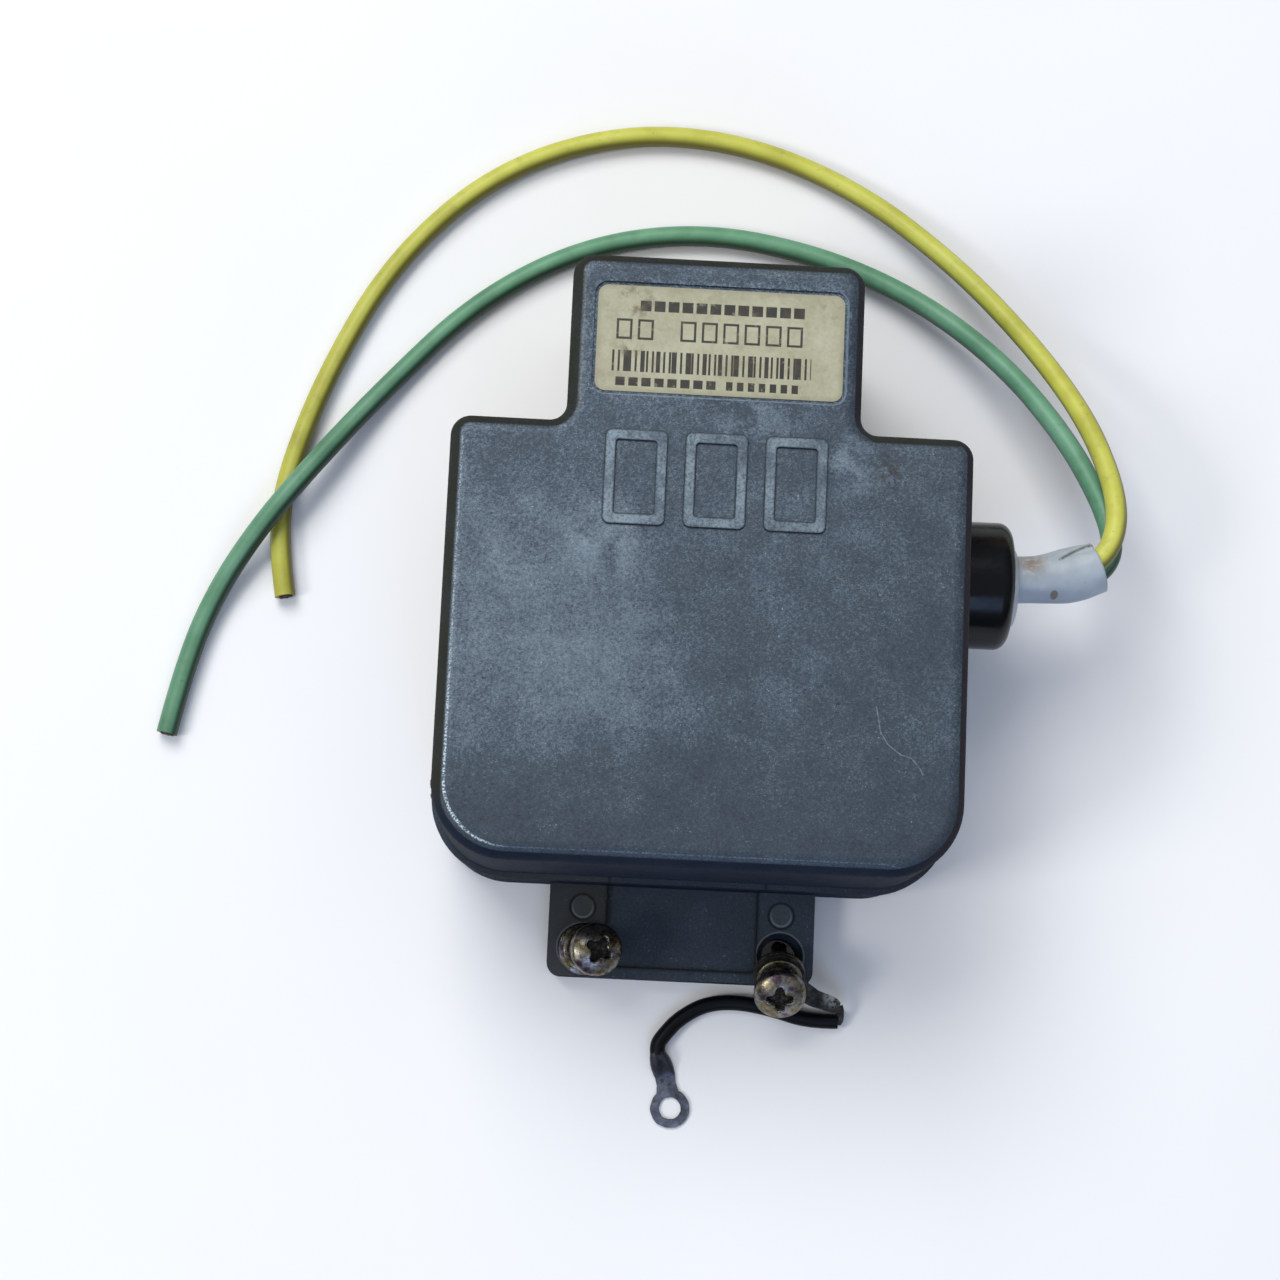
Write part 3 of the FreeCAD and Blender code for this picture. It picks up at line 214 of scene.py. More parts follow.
class Paint:
    """A node material under construction. Lengths are in millimetres, colours 0 to 255 as displayed."""

    def __init__(self, name):
        self.material = bpy.data.materials.new(name)
        self.material.use_nodes = True
        self.tree = self.material.node_tree
        self.tree.nodes.clear()
        output = self.node("OutputMaterial")
        self.shader = self.node("BsdfPrincipled")
        self.tree.links.new(self.shader.outputs["BSDF"], output.inputs["Surface"])
        coordinates = self.node("TexCoord")
        self.place = self.vector("MULTIPLY", coordinates.outputs["Object"], (1000, 1000, 1000))
        self.x, self.y, self.z = self.split(self.place)
        geometry = self.node("NewGeometry")
        self.normal_x, self.normal_y, self.normal_z = self.split(geometry.outputs["Normal"])
        self.colour = (0, 0, 0)

    def node(self, kind):
        return self.tree.nodes.new("ShaderNode" + kind)

    def put(self, socket, value):
        if isinstance(value, bpy.types.NodeSocket):
            self.tree.links.new(value, socket)
        else:
            socket.default_value = value

    def vector(self, operation, a, b):
        node = self.node("VectorMath")
        node.operation = operation
        self.put(node.inputs[0], a)
        self.put(node.inputs[1], b)
        return node.outputs["Vector"]

    def split(self, vector):
        node = self.node("SeparateXYZ")
        self.put(node.inputs[0], vector)
        return node.outputs[0], node.outputs[1], node.outputs[2]

    def math(self, operation, a, b=0.0, c=0.0):
        node = self.node("Math")
        node.operation = operation
        for socket, value in zip(node.inputs, (a, b, c)):
            self.put(socket, value)
        return node.outputs[0]

    def add(self, total, *others):
        for other in others:
            total = self.math("ADD", total, other)
        return total

    def times(self, product, *others):
        for other in others:
            product = self.math("MULTIPLY", product, other)
        return product

    def subtract(self, a, b):
        return self.math("SUBTRACT", a, b)

    def larger(self, a, b):
        return self.math("MAXIMUM", a, b)

    def smaller(self, a, b):
        return self.math("MINIMUM", a, b)

    def absolute(self, value):
        return self.math("ABSOLUTE", value)

    def length(self, *parts):
        """Length of a line from its parts along each axis."""
        return self.math("SQRT", self.add(*(self.times(part, part) for part in parts)))

    def noise(self, size, detail=3.0, roughness=0.55, stretch=(1, 1, 1), offset=0.0):
        node = self.node("TexNoise")
        scaled = self.vector("MULTIPLY", self.place, tuple(s / size for s in stretch))
        self.put(node.inputs["Vector"], self.vector("ADD", scaled, (offset, offset * 2, -offset)))
        self.put(node.inputs["Scale"], 1.0)
        self.put(node.inputs["Detail"], detail)
        self.put(node.inputs["Roughness"], roughness)
        return node.outputs["Fac"]

    def remap(self, value, low, high, to_low=0.0, to_high=1.0):
        node = self.node("MapRange")
        node.interpolation_type = "SMOOTHSTEP"
        for name, v in (("Value", value), ("From Min", low), ("From Max", high),
                        ("To Min", to_low), ("To Max", to_high)):
            self.put(node.inputs[name], v)
        return node.outputs["Result"]

    def ramp(self, value, stops):
        node = self.node("ValToRGB")
        elements = node.color_ramp.elements
        while len(elements) < len(stops):
            elements.new(0.5)
        for element, (position, colour) in zip(elements, stops):
            element.position = position
            element.color = rgb(*colour)
        self.put(node.inputs["Fac"], value)
        return node.outputs["Color"]

    def mix(self, factor, a, b):
        node = self.node("Mix")
        node.data_type = "RGBA"
        self.put(node.inputs[0], factor)
        for index, colour in ((6, a), (7, b)):
            self.put(node.inputs[index], rgb(*colour) if isinstance(colour, tuple) else colour)
        return node.outputs[2]

    def lay(self, tint, *shares):
        """Lays a tint over the colour so far, by the product of the shares."""
        self.colour = self.mix(self.times(*shares), self.colour, tint)

    def box_distance(self, centre, half, corner):
        """Distance in plan to a rounded rectangle, below zero inside it."""
        across = self.subtract(self.absolute(self.subtract(self.x, centre[0])), half[0] - corner)
        along = self.subtract(self.absolute(self.subtract(self.y, centre[1])), half[1] - corner)
        outside = self.length(self.larger(across, 0.0), self.larger(along, 0.0))
        inside = self.smaller(self.larger(across, along), 0.0)
        return self.subtract(self.add(outside, inside), corner)

    def disc_distance(self, centre, radius):
        return self.box_distance(centre, (radius, radius), radius)

    def stroke(self, points, width):
        """1 on a thin line through the (x, y) points in plan, 0 off it."""
        nearest = None
        for (x0, y0), (x1, y1) in zip(points, points[1:]):
            dx, dy = x1 - x0, y1 - y0
            square = dx * dx + dy * dy
            px = self.subtract(self.x, x0)
            py = self.subtract(self.y, y0)
            along = self.add(self.times(px, dx / square), self.times(py, dy / square))
            along = self.smaller(self.larger(along, 0.0), 1.0)
            qx = self.subtract(px, self.times(along, dx))
            qy = self.subtract(py, self.times(along, dy))
            distance = self.length(qx, qy)
            nearest = distance if nearest is None else self.smaller(nearest, distance)
        return self.remap(nearest, width, 0.0)

    def spot(self, centre, radius, axes="xy"):
        """1 at a place and 0 beyond a radius, measured in the plane of two axes."""
        values = {"x": self.x, "y": self.y, "z": self.z}
        parts = [self.subtract(values[axis], middle) for axis, middle in zip(axes, centre)]
        return self.remap(self.length(*parts), radius, 0.0)

    def bump(self, height, depth):
        """A normal from a 0 to 1 height that stands for depth millimetres."""
        node = self.node("Bump")
        self.put(node.inputs["Height"], height)
        node.inputs["Strength"].default_value = 1.0
        node.inputs["Distance"].default_value = depth * MM
        return node.outputs["Normal"]

    def finish(self, roughness, metallic=0.0, normal=None, **constants):
        self.put(self.shader.inputs["Base Color"], self.colour)
        self.put(self.shader.inputs["Roughness"], roughness)
        self.put(self.shader.inputs["Metallic"], metallic)
        if normal is not None:
            self.put(self.shader.inputs["Normal"], normal)
        for name, value in constants.items():
            self.shader.inputs[name.replace("_", " ")].default_value = value
        return self.material


def casting_tone(p):
    """The mottled, slightly oxidised zinc of both castings. Gives its normal, patches and grain."""
    cloud = p.noise(20, 3.0)
    patch = p.noise(5.5, 4.0, 0.6, offset=3.0)
    grain = p.noise(0.42, 3.0, 0.7, offset=7.0)
    fleck = p.noise(0.24, 2.0, 0.6, stretch=(1, 1.6, 1), offset=11.0)
    tone = p.add(p.times(cloud, 0.12), p.times(patch, 0.12), p.times(grain, 0.24), p.times(fleck, 0.22))
    light_band = p.times(p.spot((-24, 24), 30), 0.06)
    dark_foot = p.times(p.remap(p.y, 18, -4), -0.05)
    dusty = p.add(p.spot((6, 60), 11), p.spot((20, 54), 8), p.spot((-15, 40), 9))
    dusty = p.times(dusty, p.times(p.remap(patch, 0.4, 0.6), 0.07))
    tone = p.add(tone, light_band, dark_foot, dusty)
    p.colour = p.ramp(p.remap(tone, 0.1, 0.6), [
        (0.0, (24, 31, 39)), (0.5, (63, 75, 87)), (1.0, (126, 142, 153))])
    pits = p.remap(p.noise(1.0, 2.0, 0.5, stretch=(1, 2.2, 1), offset=19.0), 0.68, 0.75)
    p.lay((34, 40, 46), pits, 0.6)
    bright = p.remap(p.noise(0.4, 2.0, 0.5, offset=29.0), 0.64, 0.74)
    p.lay((168, 182, 190), bright, p.remap(patch, 0.45, 0.65), 0.5)
    height = p.add(p.times(grain, 0.6), p.times(fleck, 0.4))
    height = p.subtract(height, p.times(pits, 0.8))
    normal = p.bump(height, 0.05)
    return normal, patch, grain


def painted_wall_shade(p, patch):
    """Painted shade on steep walls and rounded edges, tinted after the light each side faces: olive on
    the left and the top, navy below and brown on the right.
    """
    tint = p.mix(p.remap(p.normal_y, 0.0, -0.5), (44, 45, 38), (26, 33, 48))
    tint = p.mix(p.remap(p.normal_x, 0.2, 0.6), tint, (48, 44, 48))
    later = p.larger(p.remap(p.normal_x, 0.05, 0.3, 0.0, 0.08),
                     p.remap(p.normal_y, 0.0, -0.25, 0.0, 0.1))
    steep = p.remap(p.add(p.normal_z, later), 0.95, 0.87)
    stain_and_shade = p.times(steep, p.remap(patch, 0.3, 0.7, 0.84, 0.98))
    # Painted shade: walls and fillets darkened, with the tint set by the side they face.
    p.lay(tint, stain_and_shade)
    return stain_and_shade


def painted_edge_highlight(p):
    """Painted highlight: bright flecks along the cover's rounded edge, where a lamp would glint, most
    at the lower left, cool white low down and warm higher up.
    """
    reach = p.add(p.times(p.normal_x, -0.85), p.times(p.normal_y, -0.5))
    band = p.times(p.remap(p.normal_z, 0.999, 0.982), p.remap(p.normal_z, 0.915, 0.96))
    side = p.remap(reach, 0.14, 0.24)
    flecks = p.remap(p.noise(0.3, 2.0, 0.6, offset=41.0), 0.44, 0.6, 0.06, 1.0)
    low = p.remap(p.y, 34, 2, 0.35, 1.0)
    tint = p.mix(p.remap(p.y, 52, 60), (196, 214, 224), (150, 136, 98))
    p.lay(tint, band, side, flecks, low)


def casting_finish(p, normal, grain, stain_and_shade):
    # The painted wall shade also makes those walls rougher, less metallic and less shiny.
    roughness = p.add(p.remap(grain, 0.25, 0.8, 0.56, 0.42), p.times(stain_and_shade, 0.16))
    metallic = p.remap(stain_and_shade, 0.2, 0.8, 0.45, 0.04)
    p.put(p.shader.inputs["Specular IOR Level"], p.remap(stain_and_shade, 0.2, 0.8, 0.45, 0.03))
    return p.finish(roughness, metallic, normal)


def cover_material():
    p = Paint("cover_casting")
    normal, patch, grain = casting_tone(p)
    stain_and_shade = painted_wall_shade(p, patch)
    painted_edge_highlight(p)
    on_top = p.remap(p.z, FACE_Z - 0.6, FACE_Z - 0.1)
    recess_half = (LABEL_HALF[0] + LABEL_RECESS_MARGIN, LABEL_HALF[1] + LABEL_RECESS_MARGIN)
    recess = p.box_distance(LABEL_CENTRE, recess_half, 2.0)
    # Painted highlight: a light line along the label recess's edge on its right and lower sides.
    rim = p.remap(p.absolute(recess), 0.22, 0.04)
    far_side = p.larger(p.remap(p.x, 17.6, 18.6), p.remap(p.y, 63.0, 62.0))
    p.lay((132, 147, 160), rim, far_side, 0.55)
    scuff = p.times(p.remap(p.absolute(recess), 1.3, 0.2), p.remap(grain, 0.5, 0.64))
    p.lay((120, 136, 152), scuff, 0.35)
    scratch = p.stroke(SCRATCH, SCRATCH_WIDTH)
    p.lay((140, 153, 162), scratch, p.remap(grain, 0.3, 0.6, 0.15, 0.6))
    dark_scratch = p.stroke(DARK_SCRATCH, SCRATCH_WIDTH)
    p.lay((45, 54, 62), dark_scratch, 0.35)
    rough_patch = p.remap(p.noise(1.2, 4.0, 0.7, offset=31.0), 0.42, 0.58)
    p.lay((50, 48, 46), p.spot((26.2, 52.6), 5.0), rough_patch, 0.7)
    for centre in PAD_CENTRES:
        outer = p.box_distance(centre, PAD_HALF, 1.0)
        inner = p.box_distance(centre, (PAD_HALF[0] - PAD_STROKE, PAD_HALF[1] - PAD_STROKE), 0.5)
        stroke = p.times(p.remap(outer, 0.0, -0.1), p.remap(inner, 0.0, 0.1))
        worn = p.times(p.remap(patch, 0.3, 0.65, 0.2, 0.8), p.remap(grain, 0.3, 0.6, 0.3, 1.0))
        p.lay((128, 143, 154), stroke, on_top, worn)
        # Darker along the pad frames' inner and outer edges.
        edge = p.smaller(p.absolute(outer), p.absolute(inner))
        edge_darkening = p.times(p.remap(edge, 0.26, 0.02), on_top)
        p.lay((30, 37, 46), edge_darkening, p.remap(patch, 0.3, 0.7, 0.35, 0.85))
    return casting_finish(p, normal, grain, stain_and_shade)


def housing_material():
    p = Paint("housing_casting")
    normal, patch, grain = casting_tone(p)
    p.lay((38, 47, 60), 0.42)
    olive = p.times(p.remap(p.x, -10.0, -13.0), p.remap(p.y, -5.0, -8.0))
    p.lay((62, 63, 60), olive, 0.6)
    stain_and_shade = painted_wall_shade(p, patch)
    half_y = (FLANGE_TOP - PANEL_LOW_Y) / 2
    # Darker along the tab panel's outline, from 3 mm up.
    panel = p.box_distance((0, PANEL_LOW_Y + half_y), (PANEL_HALF, half_y), 1.2)
    edge_darkening = p.times(p.remap(p.absolute(panel), 0.45, 0.05), p.remap(p.z, 3.0, 4.4))
    p.lay((18, 23, 32), edge_darkening, 0.7)
    for side in (-1, 1):
        ring = p.disc_distance((side * PIN_MARK_X, PIN_MARK_Y), PIN_MARK_RADIUS)
        p.lay((96, 108, 116), p.remap(ring, 0.0, -0.3), 0.22)
        groove = p.remap(p.absolute(ring), 0.26, 0.06)
        p.lay((16, 20, 27), groove, 0.8)
        rim = p.disc_distance((side * PIN_MARK_X, CAPTIVE_HOLE_Y), CAPTIVE_RIM)
        rim = p.times(p.remap(p.absolute(rim), 0.2, 0.03), p.remap(p.z, 5.3, 5.45))
        p.lay((118, 130, 138), rim, 0.5)
        shine = p.remap(p.absolute(p.add(ring, 0.42)), 0.24, 0.05)
        shine = p.times(shine, p.remap(p.y, PIN_MARK_Y + 1.2, PIN_MARK_Y - 1.2))
        p.lay((128, 140, 148), shine, 0.6)
    return casting_finish(p, normal, grain, stain_and_shade)


def blocks(p, start, end, below, height, pitch, share, offset):
    """A row of plain printed blocks, placed from the label's upper left corner."""
    left = LABEL_LEFT + start
    right = LABEL_LEFT + end
    across = p.times(p.remap(p.x, left - 0.05, left + 0.05), p.remap(p.x, right + 0.05, right - 0.05))
    off = p.absolute(p.subtract(p.y, LABEL_TOP - below))
    row = p.times(across, p.remap(off, height / 2 + 0.05, height / 2 - 0.05))
    step = p.math("FRACT", p.math("DIVIDE", p.subtract(p.x, left - offset), pitch))
    block = p.times(p.remap(step, 0.0, 0.04), p.remap(step, share + 0.04, share))
    return p.times(row, block)


def label_material():
    p = Paint("label_film")
    left, top = LABEL_LEFT, LABEL_TOP
    cloud = p.noise(7, 4.0, 0.6)
    dust = p.noise(0.5, 3.0, 0.6, offset=5.0)
    p.colour = p.ramp(p.add(p.times(cloud, 0.7), p.times(dust, 0.3)), [
        (0.3, (150, 146, 118)), (0.55, (172, 170, 144)), (0.75, (184, 183, 160))])
    boxes = p.larger(p.subtract(blocks(p, *LABEL_BOXES), blocks(p, *LABEL_BOX_HOLES)), 0.0)
    gap_start, gap_end = (left + edge for edge in LABEL_GAP)
    gap = p.times(p.remap(p.x, gap_start, gap_start + 0.1), p.remap(p.x, gap_end, gap_end - 0.1))
    ink = p.times(boxes, p.subtract(1.0, gap))
    for row in LABEL_ROWS:
        ink = p.larger(ink, blocks(p, *row))
    faded = p.remap(p.noise(1.4, 3.0, 0.7, offset=9.0), 0.30, 0.42, 0.6, 0.97)
    p.lay((26, 27, 26), ink, faded)
    smudge = p.remap(p.noise(2.2, 4.0, 0.7, offset=2.0), 0.44, 0.68)
    stain_and_shade = p.add(p.spot((left + 5.5, top - 2.2), 4.0), p.spot((left + 34.0, top - 2.5), 2.2),
                  p.spot((left + 5.0, top - 9.6), 2.4))
    p.lay((104, 92, 70), p.add(p.times(stain_and_shade, 0.9), 0.2), smudge)
    edge = p.box_distance(LABEL_CENTRE, LABEL_HALF, 1.5)
    aged = p.times(p.remap(edge, -1.0, 0.0), p.remap(cloud, 0.3, 0.7, 0.2, 0.8))
    p.lay((139, 134, 108), aged)
    normal = p.bump(dust, 0.012)
    return p.finish(0.48, 0.0, normal, Specular_IOR_Level=0.4)


def bushing_material():
    p = Paint("black_moulding")
    smear = p.noise(3.0, 4.0, 0.6, stretch=(0.5, 1, 1))
    upper = p.remap(p.y, AXIS_Y + 7.2, AXIS_Y + 8.6)
    dust = p.times(upper, p.remap(smear, 0.3, 0.7, 0.4, 0.8))
    p.colour = (5, 7, 12)
    p.lay((48, 47, 38), dust)
    brown = p.times(p.spot((AXIS_Y + 5.6, AXIS_Z + 8), 2.4, "yz"), p.remap(smear, 0.35, 0.65, 0.1, 0.6))
    p.lay((44, 36, 26), brown)
    roughness = p.remap(smear, 0.3, 0.75, 0.14, 0.3)
    normal = p.bump(p.noise(1.6, 3.0, 0.5, offset=4.0), 0.02)
    return p.finish(roughness, 0.0, normal, Specular_IOR_Level=0.2)


def silicone_material():
    p = Paint("white_silicone")
    cloud = p.noise(3.2, 4.0, 0.6)
    p.colour = p.ramp(cloud, [(0.3, (160, 170, 178)), (0.6, (176, 186, 193)), (0.8, (192, 198, 202))])
    # Painted shade tinted blue on the side that faces -Y.
    under = p.remap(p.normal_y, 0.1, -0.75)
    p.lay((146, 160, 180), under, 0.55)
    rub = p.times(p.spot((50.2, 44.2), 3.6), p.remap(p.noise(1.1, 4.0, 0.7, offset=6.0), 0.36, 0.5))
    p.lay((140, 122, 104), rub, 0.85)
    # Painted shade: a broken brown line along the sleeve's crease.
    fold = p.stroke([(54.6, 44.9), (56.2, 46.0), (57.8, 46.9), (59.6, 47.6)], 0.42)
    fold = p.times(fold, p.remap(p.noise(0.9, 3.0, 0.6, offset=14.0), 0.35, 0.55, 0.3, 1.0))
    p.lay((70, 62, 52), fold, 0.85)
    dot = p.spot((53.9, 39.5), 0.95)
    p.lay((112, 98, 88), p.remap(dot, 0.15, 0.5, 0.0, 0.85))
    specks = p.remap(p.noise(0.7, 2.0, 0.5, offset=8.0), 0.72, 0.76)
    p.lay((92, 84, 76), specks, 0.6)
    normal = p.bump(p.noise(1.2, 3.0, 0.5, offset=1.0), 0.04)
    return p.finish(0.46, 0.0, normal, Specular_IOR_Level=0.45)


def insulation_material(name, base, light, dark, dirt, dirt_share, shade, gloss=0.35):
    p = Paint(name)
    cloud = p.noise(9, 3.0, 0.6)
    p.colour = p.ramp(cloud, [(0.3, dark), (0.5, base), (0.72, light)])
    soil = p.remap(p.noise(2.4, 4.0, 0.7, offset=4.0), 0.52, 0.78, 0.0, dirt_share)
    p.lay(dirt, soil)
    specks = p.remap(p.noise(0.8, 2.0, 0.6, offset=12.0), 0.70, 0.75)
    p.lay(dirt, specks, 0.45)
    away = p.add(p.times(p.normal_x, 0.6), p.times(p.normal_y, -0.5))
    under = p.remap(p.add(away, p.times(p.normal_z, -0.8)), -0.75, 0.05)
    far = p.remap(p.x, -25, -62, 0.0, 0.3)
    p.lay(shade, p.larger(under, far))
    normal = p.bump(p.noise(0.9, 3.0, 0.6, offset=2.0), 0.02)
    return p.finish(0.42, 0.0, normal, Specular_IOR_Level=gloss)


def cut_material():
    """Dark, dirty conductor strands at the cut ends."""
    p = Paint("cut_strands")
    p.colour = p.ramp(p.noise(0.5, 3.0, 0.6), [
        (0.35, (24, 20, 18)), (0.55, (70, 58, 44)), (0.75, (130, 108, 84))])
    return p.finish(0.5, 0.6, p.bump(p.noise(0.3, 2.0), 0.05))


def plated_material():
    """Zinc plating with a worn yellow and violet passivation."""
    p = Paint("plated_steel")
    drift = p.noise(2.6, 3.0, 0.6)
    p.colour = p.ramp(drift, [
        (0.28, (100, 88, 52)), (0.42, (120, 110, 84)), (0.52, (134, 132, 130)),
        (0.62, (84, 68, 78)), (0.75, (70, 72, 86))])
    soil = p.remap(p.noise(0.9, 4.0, 0.7, offset=5.0), 0.46, 0.68, 0.0, 0.8)
    p.lay((44, 38, 30), soil)
    roughness = p.remap(p.noise(0.8, 3.0, 0.6, offset=3.0), 0.3, 0.7, 0.2, 0.42)
    normal = p.bump(p.noise(0.5, 3.0, 0.6, offset=8.0), 0.02)
    return p.finish(roughness, 0.95, normal)


def tinned_material():
    p = Paint("tinned_copper")
    cloud = p.noise(1.6, 4.0, 0.65)
    p.colour = p.ramp(cloud, [(0.3, (60, 62, 70)), (0.5, (86, 91, 106)), (0.7, (120, 126, 140))])
    soil = p.remap(p.noise(1.1, 3.0, 0.6, offset=7.0), 0.54, 0.7, 0.0, 0.7)
    soil = p.larger(soil, p.remap(p.y, -35.6, -34.4, 0.0, 0.8))
    p.lay((40, 38, 42), soil)
    normal = p.bump(p.noise(0.35, 3.0, 0.6, offset=2.0), 0.03)
    return p.finish(p.remap(cloud, 0.3, 0.7, 0.5, 0.36), 0.7, normal)


def lug_material():
    """Dark tarnished tin, rubbed bright near the tag's tip."""
    p = Paint("tarnished_tag")
    cloud = p.noise(1.1, 4.0, 0.65, offset=3.0)
    p.colour = p.ramp(cloud, [(0.35, (34, 34, 36)), (0.55, (60, 60, 62)), (0.7, (84, 82, 80))])
    bright = p.times(p.spot((23.9, -22.3), 2.2), p.remap(p.noise(0.7, 3.0, 0.6, offset=9.0), 0.4, 0.55))
    p.lay((176, 184, 188), bright)
    p.lay((20, 18, 18), p.spot((24.6, -22.4), 0.35), 0.9)
    normal = p.bump(p.noise(0.35, 3.0, 0.6, offset=2.0), 0.03)
    return p.finish(0.4, 0.75, normal)


def recess_material():
    """Dark colour inside a screw's recess: painted shade, with old grease and rust."""
    p = Paint("recess_shade_and_grime")
    p.colour = p.ramp(p.noise(0.45, 3.0, 0.6), [
        (0.35, (12, 11, 10)), (0.55, (36, 32, 28)), (0.72, (84, 80, 72))])
    return p.finish(0.6, 0.3, p.bump(p.noise(0.25, 2.0), 0.05), Specular_IOR_Level=0.3)


def burr_material():
    """The torn bright rim of a screw's recess."""
    p = Paint("torn_rim")
    p.colour = p.ramp(p.noise(0.32, 3.0, 0.7, offset=5.0), [
        (0.38, (34, 30, 28)), (0.5, (110, 108, 108)), (0.62, (196, 200, 206))])
    return p.finish(0.32, 0.8, p.bump(p.noise(0.25, 2.0), 0.05))


def plain_metal(name, dark, light, roughness, metallic=1.0):
    """An inner part: machined metal or fired ceramic with a light cloudiness."""
    p = Paint(name)
    cloud = p.noise(2.2, 4.0, 0.6)
    p.colour = p.ramp(cloud, [(0.3, dark), (0.7, light)])
    lines = p.noise(0.4, 2.0, 0.5, stretch=(4, 1, 1), offset=3.0)
    return p.finish(p.remap(cloud, 0.3, 0.7, roughness + 0.1, roughness - 0.05), metallic,
                    p.bump(lines, 0.01))


def residue_material():
    p = Paint("sealant_residue")
    p.colour = p.ramp(p.noise(0.8, 3.0, 0.6), [(0.35, (20, 22, 22)), (0.7, (62, 64, 58))])
    return p.finish(0.75, 0.0, p.bump(p.noise(0.4, 3.0), 0.08))


def dress_nodes(nodes, materials):
    """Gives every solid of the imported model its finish."""
    finishes = {
        "cover": ["front_cover"],
        "housing": ["rear_housing"],
        "label": ["name_label"],
        "bushing": ["hv_bushing"],
        "plated": ["cover_screws", "yoke_screws"],
        "iron": ["return_yoke", "pole_piece_left", "pole_piece_right", "insulator_cap"],
        "magnet": ["magnet_left", "magnet_right"],
        "copper": ["anode_block", "strap_rings", "exhaust_tube", "output_transition"],
        "cathode": ["cathode_sleeve", "cathode_end_hats", "heater_coil", "cathode_stalk", "heater_rod"],
        "ceramic": ["cathode_insulator", "output_window"],
    }
    for finish, names in finishes.items():
        for name in names:
            mesh = nodes[name].data
            mesh.materials.clear()
            mesh.materials.append(materials[finish])


# Meshes

def new_object(name, data):
    """An object with the given data, in the scene."""
    item = bpy.data.objects.new(name, data)
    bpy.context.scene.collection.objects.link(item)
    return item


def add_piece(name, vertices, faces, material, replaces=()):
    """A mesh piece from vertices in millimetres. It rides on the only body."""
    mesh = bpy.data.meshes.new(name)
    mesh.from_pydata([tuple(c * MM for c in v) for v in vertices], [], faces)
    mesh.update()
    for polygon in mesh.polygons:
        polygon.use_smooth = True
    mesh.materials.append(material)
    piece = new_object(name, mesh)
    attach(piece, "root")
    if replaces:
        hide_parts(*replaces)
    return piece


def sharpen(piece, angle):
    """Keeps creases sharper than the angle, in degrees."""
    piece.data.set_sharp_from_angle(angle=radians(angle))
    return piece


def ring_faces(rows, columns, closed=False):
    """Quads that join rows of points round a loop."""
    faces = []
    for row in range(rows if closed else rows - 1):
        here = row * columns
        there = (row + 1) % rows * columns
        for column in range(columns):
            after = (column + 1) % columns
            faces.append((here + column, here + after, there + after, there + column))
    return faces


def capped_faces(rows, columns):
    """Quads that join rows of points, then a face over each end."""
    last = (rows - 1) * columns
    return ring_faces(rows, columns) + [tuple(range(columns))[::-1], tuple(range(last, last + columns))]


def stood(points, tip, aim):
    """Moves points that stand on +Z at the origin to a tip, and turns them to an aim."""
    turn = Vector((0, 0, 1)).rotation_difference(Vector(aim))
    return [turn @ Vector(p) + Vector(tip) for p in points]


def crown_z(radius):
    """Height of the pan head's crown at a radius."""
    top = SCREW_LENGTH + HEAD_HEIGHT
    sphere = (HEAD_RADIUS ** 2 + HEAD_CROWN ** 2) / (2 * HEAD_CROWN)
    return top - sphere + sqrt(sphere ** 2 - radius ** 2)


def recess_edge(angle, turn):
    """Outline of the worn cross recess."""
    arm = abs(cos(2 * (angle - turn))) ** 1.2
    notch = max(0.0, -cos(4 * (angle - turn))) ** 6
    return 1.0 + 1.2 * arm + 0.3 * notch


def screw_points(turn, seed):
    """The captive screw's skin as rows of points, from the recess down to the tip."""
    columns = 96
    rows = []
    angles = [TURN * i / columns for i in range(columns)]
    for share, depth in ((0.02, 1.55), (0.45, 1.5), (0.8, 1.3), (0.93, 0.55), (0.99, 0.1), (1.06, 0.0)):
        row = []
        for a in angles:
            ragged = 0.14 * wobble((6 * cos(a), 6 * sin(a), 0), 1.0, seed)
            radius = (recess_edge(a, turn) + ragged) * share
            wear = 0.06 * wobble((3 * cos(a), 3 * sin(a), share), 0.8, seed)
            row.append((radius, crown_z(min(radius, HEAD_RADIUS - 0.1)) - depth + wear))
        rows.append(row)
    for share in (0.15, 0.32, 0.5, 0.68, 0.84, 0.94):
        row = []
        for a in angles:
            radius = recess_edge(a, turn) * 1.06
            radius = radius + (HEAD_RADIUS - 0.15 - radius) * share
            row.append((radius, crown_z(radius)))
        rows.append(row)
    side_top = crown_z(HEAD_RADIUS - 0.15)
    for radius, z in ((HEAD_RADIUS - 0.03, side_top - 0.18), (HEAD_RADIUS, side_top - 0.5),
                      (HEAD_RADIUS, SCREW_LENGTH + 0.15), (HEAD_RADIUS - 0.12, SCREW_LENGTH),
                      (SCREW_RADIUS + 0.15, SCREW_LENGTH), (SCREW_RADIUS, SCREW_LENGTH - 0.2)):
        rows.append([(radius, z)] * columns)
    steps_per_pitch = 8
    steps = int((SCREW_LENGTH - SCREW_POINT_LENGTH - 0.4) / THREAD_PITCH * steps_per_pitch)
    for step in range(steps):
        z = SCREW_LENGTH - 0.3 - step * THREAD_PITCH / steps_per_pitch
        row = []
        for i in range(columns):
            phase = (z / THREAD_PITCH + i / columns) % 1.0
            ridge = abs(phase - 0.5) * 2
            row.append((SCREW_RADIUS - THREAD_DEPTH * smooth(0.1, 0.9, ridge), z))
        rows.append(row)
    for radius, z in ((SCREW_POINT_RADIUS + 0.2, SCREW_POINT_LENGTH), (SCREW_POINT_RADIUS, 6.9),
                      (SCREW_POINT_RADIUS, 0.5), (SCREW_POINT_RADIUS - 0.35, 0.05), (0.1, 0.0)):
        rows.append([(radius, z)] * columns)
    points = []
    for row in rows:
        points += [(r * cos(a), r * sin(a), z) for (r, z), a in zip(row, angles)]
    return points, len(rows), columns


